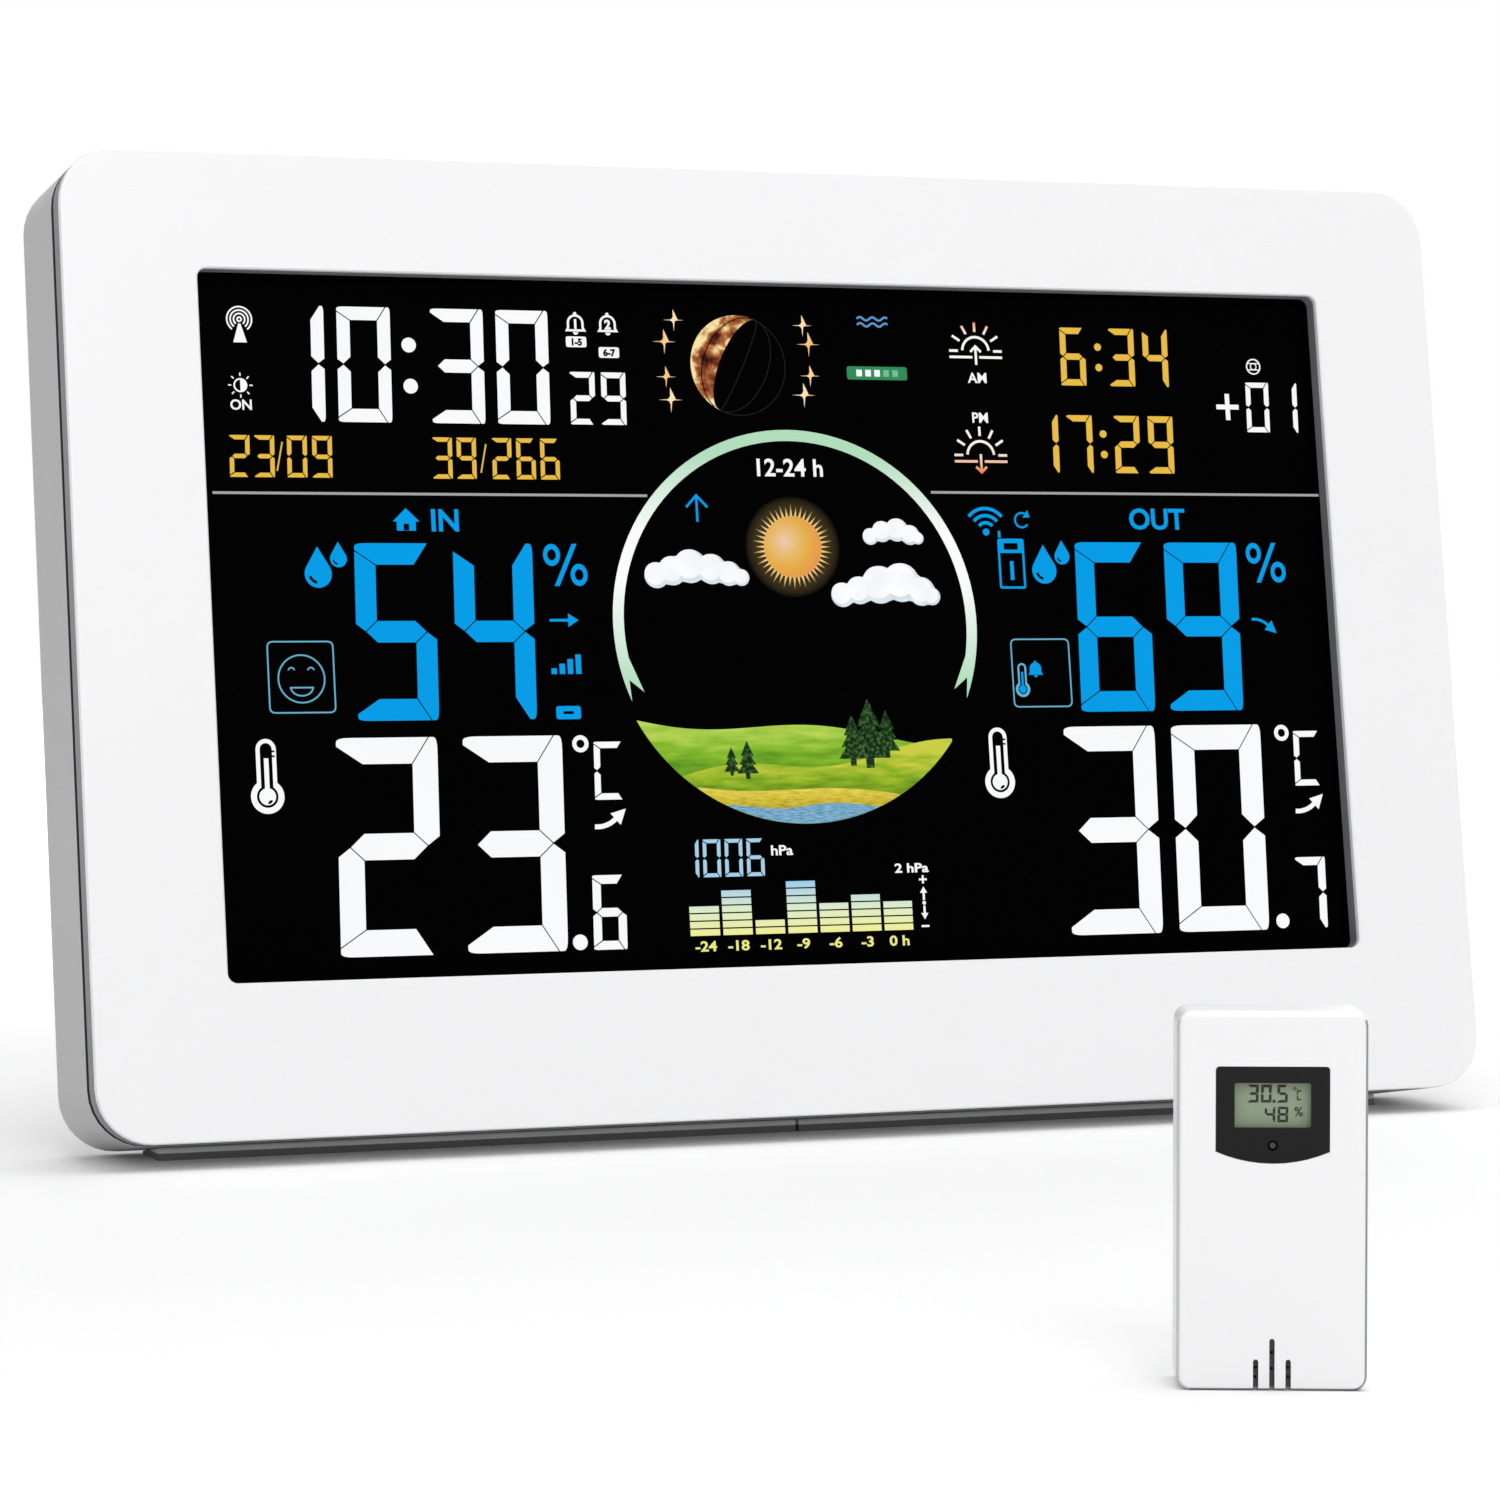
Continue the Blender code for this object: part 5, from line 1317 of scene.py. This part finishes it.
class STATION_OT_rooms(bpy.types.Operator):
    """Draw the indoor and outdoor temperature and humidity"""

    bl_idname = "station.rooms"
    bl_label = "Indoor and outdoor"
    bl_options = {"REGISTER", "UNDO"}
    indoor_humidity = DigitSize(14.6, 30.8, 3.9, 17.7)
    indoor_degrees = DigitSize(18.2, 37.5, 4.7, 22.6)
    indoor_tenths = DigitSize(6.3, 13.1, 1.7)
    outdoor_humidity = DigitSize(15.0, 31.2, 3.9, 18.0)
    outdoor_degrees = DigitSize(18.4, 37.9, 4.7, 21.6)
    outdoor_tenths = DigitSize(6.3, 13.2, 1.7)

    def execute(self, context):
        look = context.scene.display_look
        white = lit("white", look.white)
        blue = lit("blue", look.blue)
        thin = lit("line_blue", look.line)
        self.indoor(Art("indoor_art", screen_frame(), look), white, blue, thin)
        self.outdoor(Art("outdoor_art", screen_frame(), look), white, blue, thin)
        return {"FINISHED"}

    def indoor(self, art, white, blue, thin):
        house(art, blue, 36.0, 77.0)
        art.write(blue, "IN", 43.0, 77.0, 3.9, weight=0.12)
        drops(art, blue, 19.9, 69.5)
        art.digits(blue, "54", 25.7, 44.1, self.indoor_humidity)
        percent(art, blue, 60.5, 67.4)
        art.arrow(blue, 63.8, 61.4, 5.3, 0.45, 0, 1.9)
        for i in range(4):
            art.fill(blue, bar(61.0 + 1.5 * i, 52.0, 62.0 + 1.5 * i, 53.0 + 0.8 * i))
        art.fill(blue, softened(bar(61.5, 44.1, 66.0, 46.4), 0.5), bar(62.8, 45.0, 64.7, 45.5))
        self.comfort(art, thin)
        large_thermometer(art, white, 9.25, 28.6, 1.18)
        art.digits(white, "23", 20.7, 3.9, self.indoor_degrees)
        degrees(art, white, 67.7, 29.9)
        bent_arrow(art, white, 68.0, 25.3, 1.12, 1, 0.75)
        art.fill(white, disc(63.7, 5.4, 1.35))
        art.digits(white, "6", 66.1, 3.9, self.indoor_tenths)
        art.done("console", "display")

    def outdoor(self, art, white, blue, thin):
        self.radio(art, blue)
        art.write(blue, "OUT", 179.6, 77.9, 3.9, weight=0.12)
        drops(art, blue, 156.3, 70.2)
        art.digits(blue, "69", 161.9, 44.3, self.outdoor_humidity)
        percent(art, blue, 197.4, 68.0)
        bent_arrow(art, blue, 198.2, 61.2, 0.95, -1, 0.5)
        self.alert(art, thin, blue)
        large_thermometer(art, white, 144.95, 29.0, 1.18)
        art.digits(white, "30", 157.2, 3.9, self.outdoor_degrees)
        degrees(art, white, 204.4, 30.2)
        bent_arrow(art, white, 204.7, 25.6, 1.12, 1, 0.75)
        art.fill(white, disc(200.0, 5.5, 1.35))
        art.digits(white, "7", 203.0, 4.0, self.outdoor_tenths)
        art.done("console", "display")

    def comfort(self, art, ink):
        """Boxed smile for a good climate."""
        width = 0.25
        art.framed(ink, 10.2, 45.6, 22.0, 58.0, 1.1, width)
        x, y = 16.1, 51.5
        art.ring(ink, x, y, 3.95, 4.2, 40)
        for side in (-1, 1):
            art.fill(ink, band(x + side * 1.72, y + 1.4, 0.42, 0.65, 10, 170, 10))
        art.fill(ink, line([(x - 2.1, y - 1.5), (x + 2.1, y - 1.5)], width))
        chin = [(px, 0.74 * py) for px, py in arc(0, 0, 1.95, 184, 356, 18)]
        art.fill(ink, moved(line(chin, width), x, y - 1.45))

    def radio(self, art, ink):
        """Radio fan, refresh arrow, and the sensor with its channel."""
        x, y = 145.2, 77.2
        art.fill(ink, disc(x, y, 0.65, 14))
        for radius in (1.7, 3.0, 4.3):
            art.fill(ink, band(x, y, radius - 0.3, radius + 0.3, 41, 139, 16))
        art.fill(ink, band(152.4, 79.4, 1.15, 1.5, 62, 325, 20))
        art.fill(ink, moved([(-0.85, 0.0), (0.85, 0.0), (0.0, 1.1)], 153.1, 80.55, -125))
        art.framed(ink, 147.3, 66.9, 152.5, 76.0, 0.5, 0.4)
        art.fill(ink, bar(147.5, 73.4, 152.3, 75.8), bar(148.5, 74.0, 151.3, 75.2))
        art.fill(ink, bar(147.5, 76.2, 148.0, 77.4))
        art.write(ink, "1", 149.9, 68.6, 3.4, weight=0.12)

    def alert(self, art, ink, blue):
        """Boxed thermometer with a bell."""
        art.framed(ink, 148.6, 45.3, 160.3, 57.8, 1.1, 0.25)
        thermometer(art, ink, blue, 150.6, 47.2, 0.57)
        bell(art, blue, 153.3, 52.1, 0.85, filled=True)


class STATION_OT_pressure(bpy.types.Operator):
    """Draw the air pressure and its bar chart"""

    bl_idname = "station.pressure"
    bl_label = "Pressure"
    bl_options = {"REGISTER", "UNDO"}
    digit_size = DigitSize(3.5, 6.8, 0.85, 4.1)
    counts = (4, 6, 2, 7, 4, 5, 4)
    hours = ("-24", "-18", "-12", "-9", "-6", "-3", "0 h")
    chart_left = 84.1
    chart_foot = 5.9
    chart_top = 15.3
    column_pitch = 6.12
    column_width = 5.5
    row_pitch = 1.34
    row_height = 1.1

    def execute(self, context):
        look = context.scene.display_look
        art = Art("pressure_art", screen_frame(), look)
        white = lit("white", look.white)
        pale = lit("pale", look.pale)
        yellow = lit("yellow", tint(240, 236, 138))
        stops = ((0.0, tint(240, 238, 150)), (0.45, tint(222, 236, 200)), (1.0, tint(150, 202, 238)))
        chart = lit_ramp("chart", "Y", self.chart_foot, self.chart_top, stops)
        art.digits(pale, "1006", 82.9, 16.0, self.digit_size)
        art.write(white, "hPa", 99.9, 19.7, 1.8, "LEFT", 0.05, wide=1.2)
        art.write(white, "2 hPa", 129.9, 16.1, 1.65, "RIGHT", 0.06, wide=1.3)
        for i, (count, hour) in enumerate(zip(self.counts, self.hours)):
            left = self.chart_left + self.column_pitch * i
            for row in range(count):
                low = self.chart_foot + self.row_pitch * row
                art.fill(chart, bar(left, low, left + self.column_width, low + self.row_height))
            art.write(yellow, hour, left + self.column_width / 2, 3.2, 1.8, weight=0.06, wide=1.25)
        self.scale(art, white)
        art.done("console", "display")
        return {"FINISHED"}

    def scale(self, art, white):
        """Plus and minus with an arrow to each."""
        x = 128.7
        art.fill(white, bar(x - 0.75, 14.6, x + 0.75, 14.95))
        art.fill(white, bar(x - 0.18, 14.05, x + 0.18, 15.5))
        art.fill(white, bar(x - 0.75, 6.3, x + 0.75, 6.65))
        art.arrow(white, x, 12.3, 2.4, 0.4, 90, 1.1)
        art.arrow(white, x, 8.9, 2.4, 0.4, 270, 1.1)
        art.fill(white, disc(x, 10.6, 0.35, 12))


class STATION_OT_sensor(bpy.types.Operator):
    """Draw the reading on the sensor's display"""

    bl_idname = "station.sensor"
    bl_label = "Sensor reading"
    bl_options = {"REGISTER", "UNDO"}
    gap = 0.04
    upper_size = DigitSize(1.3, 2.2, 0.36, 1.55)
    lower_size = DigitSize(1.3, 1.9, 0.34, 1.55)
    unit_size = DigitSize(0.7, 1.25, 0.2)

    def execute(self, context):
        look = context.scene.display_look
        art = Art("sensor_art", sensor_frame("sensor_lcd", SENSOR_LAP * MM), look, self.gap)
        ink = Finish("display_ink", Specular=0.2)
        ink.give(Base_Color=ink.mixed(ink.noise(0.0006), tint(34, 38, 34), tint(52, 58, 50)))
        ink.give(Roughness=0.4 + 0.2 * ink.noise(0.0004))
        art.digits(ink, "30", 1.65, 2.85, self.upper_size)
        art.digits(ink, "5", 5.15, 2.85, self.upper_size)
        art.fill(ink, disc(4.8, 3.03, 0.2, 10))
        art.ring(ink, 7.3, 4.55, 0.1, 0.2, 12)
        art.digits(ink, "C", 7.5, 3.15, self.unit_size)
        art.digits(ink, "48", 3.65, 0.5, self.lower_size)
        art.write(ink, "%", 7.75, 1.25, 1.15, weight=0.02)
        art.done("sensor", "sensor_display")
        return {"FINISHED"}


class STATION_OT_stage(bpy.types.Operator):
    """Set up the floor, the soft lamps and the camera"""

    bl_idname = "station.stage"
    bl_label = "Stage"
    bl_options = {"REGISTER", "UNDO"}
    lamp_aim = (0.0, 0.05, 0.07)
    camera_near = 0.01
    floor_reach = 3.0
    floor_steps = 12
    glow_from = 300.0
    glow_span = 1100.0
    glow_least = 0.02

    def execute(self, context):
        scene = context.scene
        look = scene.stage_look
        scene.view_settings.view_transform = "Standard"
        self.world(scene, look)
        self.floor(scene, look)
        self.lamp(scene, "key_lamp", look.key, 1.1, (-0.38, -1.4, 0.95))
        self.lamp(scene, "top_lamp", look.top, 1.4, (0.15, -0.15, 1.6))
        self.lamp(scene, "back_lamp", look.back, 1.2, (0.7, 1.4, 0.9))
        self.camera(scene, look)
        return {"FINISHED"}

    def camera(self, scene, look):
        camera = bpy.data.cameras.new("camera")
        camera.lens = look.lens
        camera.clip_start = self.camera_near
        holder = bpy.data.objects.new("camera", camera)
        holder.location = console_frame().translation + Vector(look.place)
        holder.rotation_euler = (math.pi / 2 - look.drop, 0, look.heading)
        scene.collection.objects.link(holder)
        scene.camera = holder

    @staticmethod
    def seen(nodes):
        """1 for rays that show the stage itself, to the camera or in a gloss or through glass."""
        kinds = ("Camera", "Glossy", "Transmission")
        rays = [nodes.node("ShaderNodeLightPath", None, None, f"Is {kind} Ray") for kind in kinds]
        return nodes.limited(rays[0] + rays[1] + rays[2])

    def world(self, scene, look):
        world = bpy.data.worlds.new("studio")
        world.use_nodes = True
        scene.world = world
        nodes = Nodes(world.node_tree)
        seen = self.seen(nodes)
        level = seen + (1 - seen) * look.ambient
        nodes.feed(world.node_tree.nodes["Background"], {"Color": (1, 1, 1, 1), "Strength": level})

    def floor(self, scene, look):
        """Pale floor that keeps shadows near the station and fades to white far from it."""
        steps = self.floor_steps
        mesh = bmesh.new()
        bmesh.ops.create_grid(mesh, x_segments=steps, y_segments=steps, size=self.floor_reach)
        data = bpy.data.meshes.new("floor")
        mesh.to_mesh(data)
        mesh.free()
        piece = bpy.data.objects.new("floor", data)
        scene.collection.objects.link(piece)
        finish = Finish("floor", Roughness=0.9, Specular=0.1, Emission_Strength=1.0)
        cloudy = finish.noise(0.4)
        finish.give(Base_Color=finish.mixed(cloudy, scaled(look.floor, 0.99), look.floor))
        away = finish.limited((finish.from_point(0.0, 0.0) - self.glow_from) / self.glow_span)
        lift = self.seen(finish) * (self.glow_least + (1.0 - self.glow_least) * away)
        finish.give(Emission_Color=finish.mixed(lift, (0, 0, 0), (1, 1, 1)))
        data.materials.append(finish.material)

    def lamp(self, scene, name, power, size, place):
        light = bpy.data.lights.new(name, "AREA")
        light.energy = power
        light.size = size
        holder = bpy.data.objects.new(name, light)
        holder.location = place
        toward = Vector(self.lamp_aim) - Vector(place)
        holder.rotation_euler = toward.to_track_quat("-Z", "Y").to_euler()
        scene.collection.objects.link(holder)


OPERATORS = (
    STATION_OT_finishes,
    STATION_OT_clock,
    STATION_OT_sky,
    STATION_OT_forecast,
    STATION_OT_rooms,
    STATION_OT_pressure,
    STATION_OT_sensor,
    STATION_OT_stage,
)
LOOKS = {"shell_look": ShellLook, "display_look": DisplayLook, "stage_look": StageLook}


class STATION_PT_pieces(bpy.types.Panel):
    """Lists the station's looks and operators"""

    bl_idname = "STATION_PT_pieces"
    bl_label = "Weather station"
    bl_space_type = "VIEW_3D"
    bl_region_type = "UI"
    bl_category = "Station"

    def draw(self, context):
        for name, group in LOOKS.items():
            box = self.layout.box()
            for setting in group.__annotations__:
                box.prop(getattr(context.scene, name), setting)
        for operator in OPERATORS:
            self.layout.operator(operator.bl_idname)


def register():
    for group in (*LOOKS.values(), *OPERATORS, STATION_PT_pieces):
        bpy.utils.register_class(group)
    for name, group in LOOKS.items():
        setattr(bpy.types.Scene, name, PointerProperty(type=group))


def unregister():
    for name in LOOKS:
        delattr(bpy.types.Scene, name)
    for group in (STATION_PT_pieces, *reversed(OPERATORS), *LOOKS.values()):
        bpy.utils.unregister_class(group)


def main():
    register()
    bpy.ops.station.finishes()
    bpy.ops.station.clock()
    bpy.ops.station.sky()
    bpy.ops.station.forecast()
    bpy.ops.station.rooms()
    bpy.ops.station.pressure()
    bpy.ops.station.sensor()
    bpy.ops.station.stage()


if __name__ == "__main__":
    main()
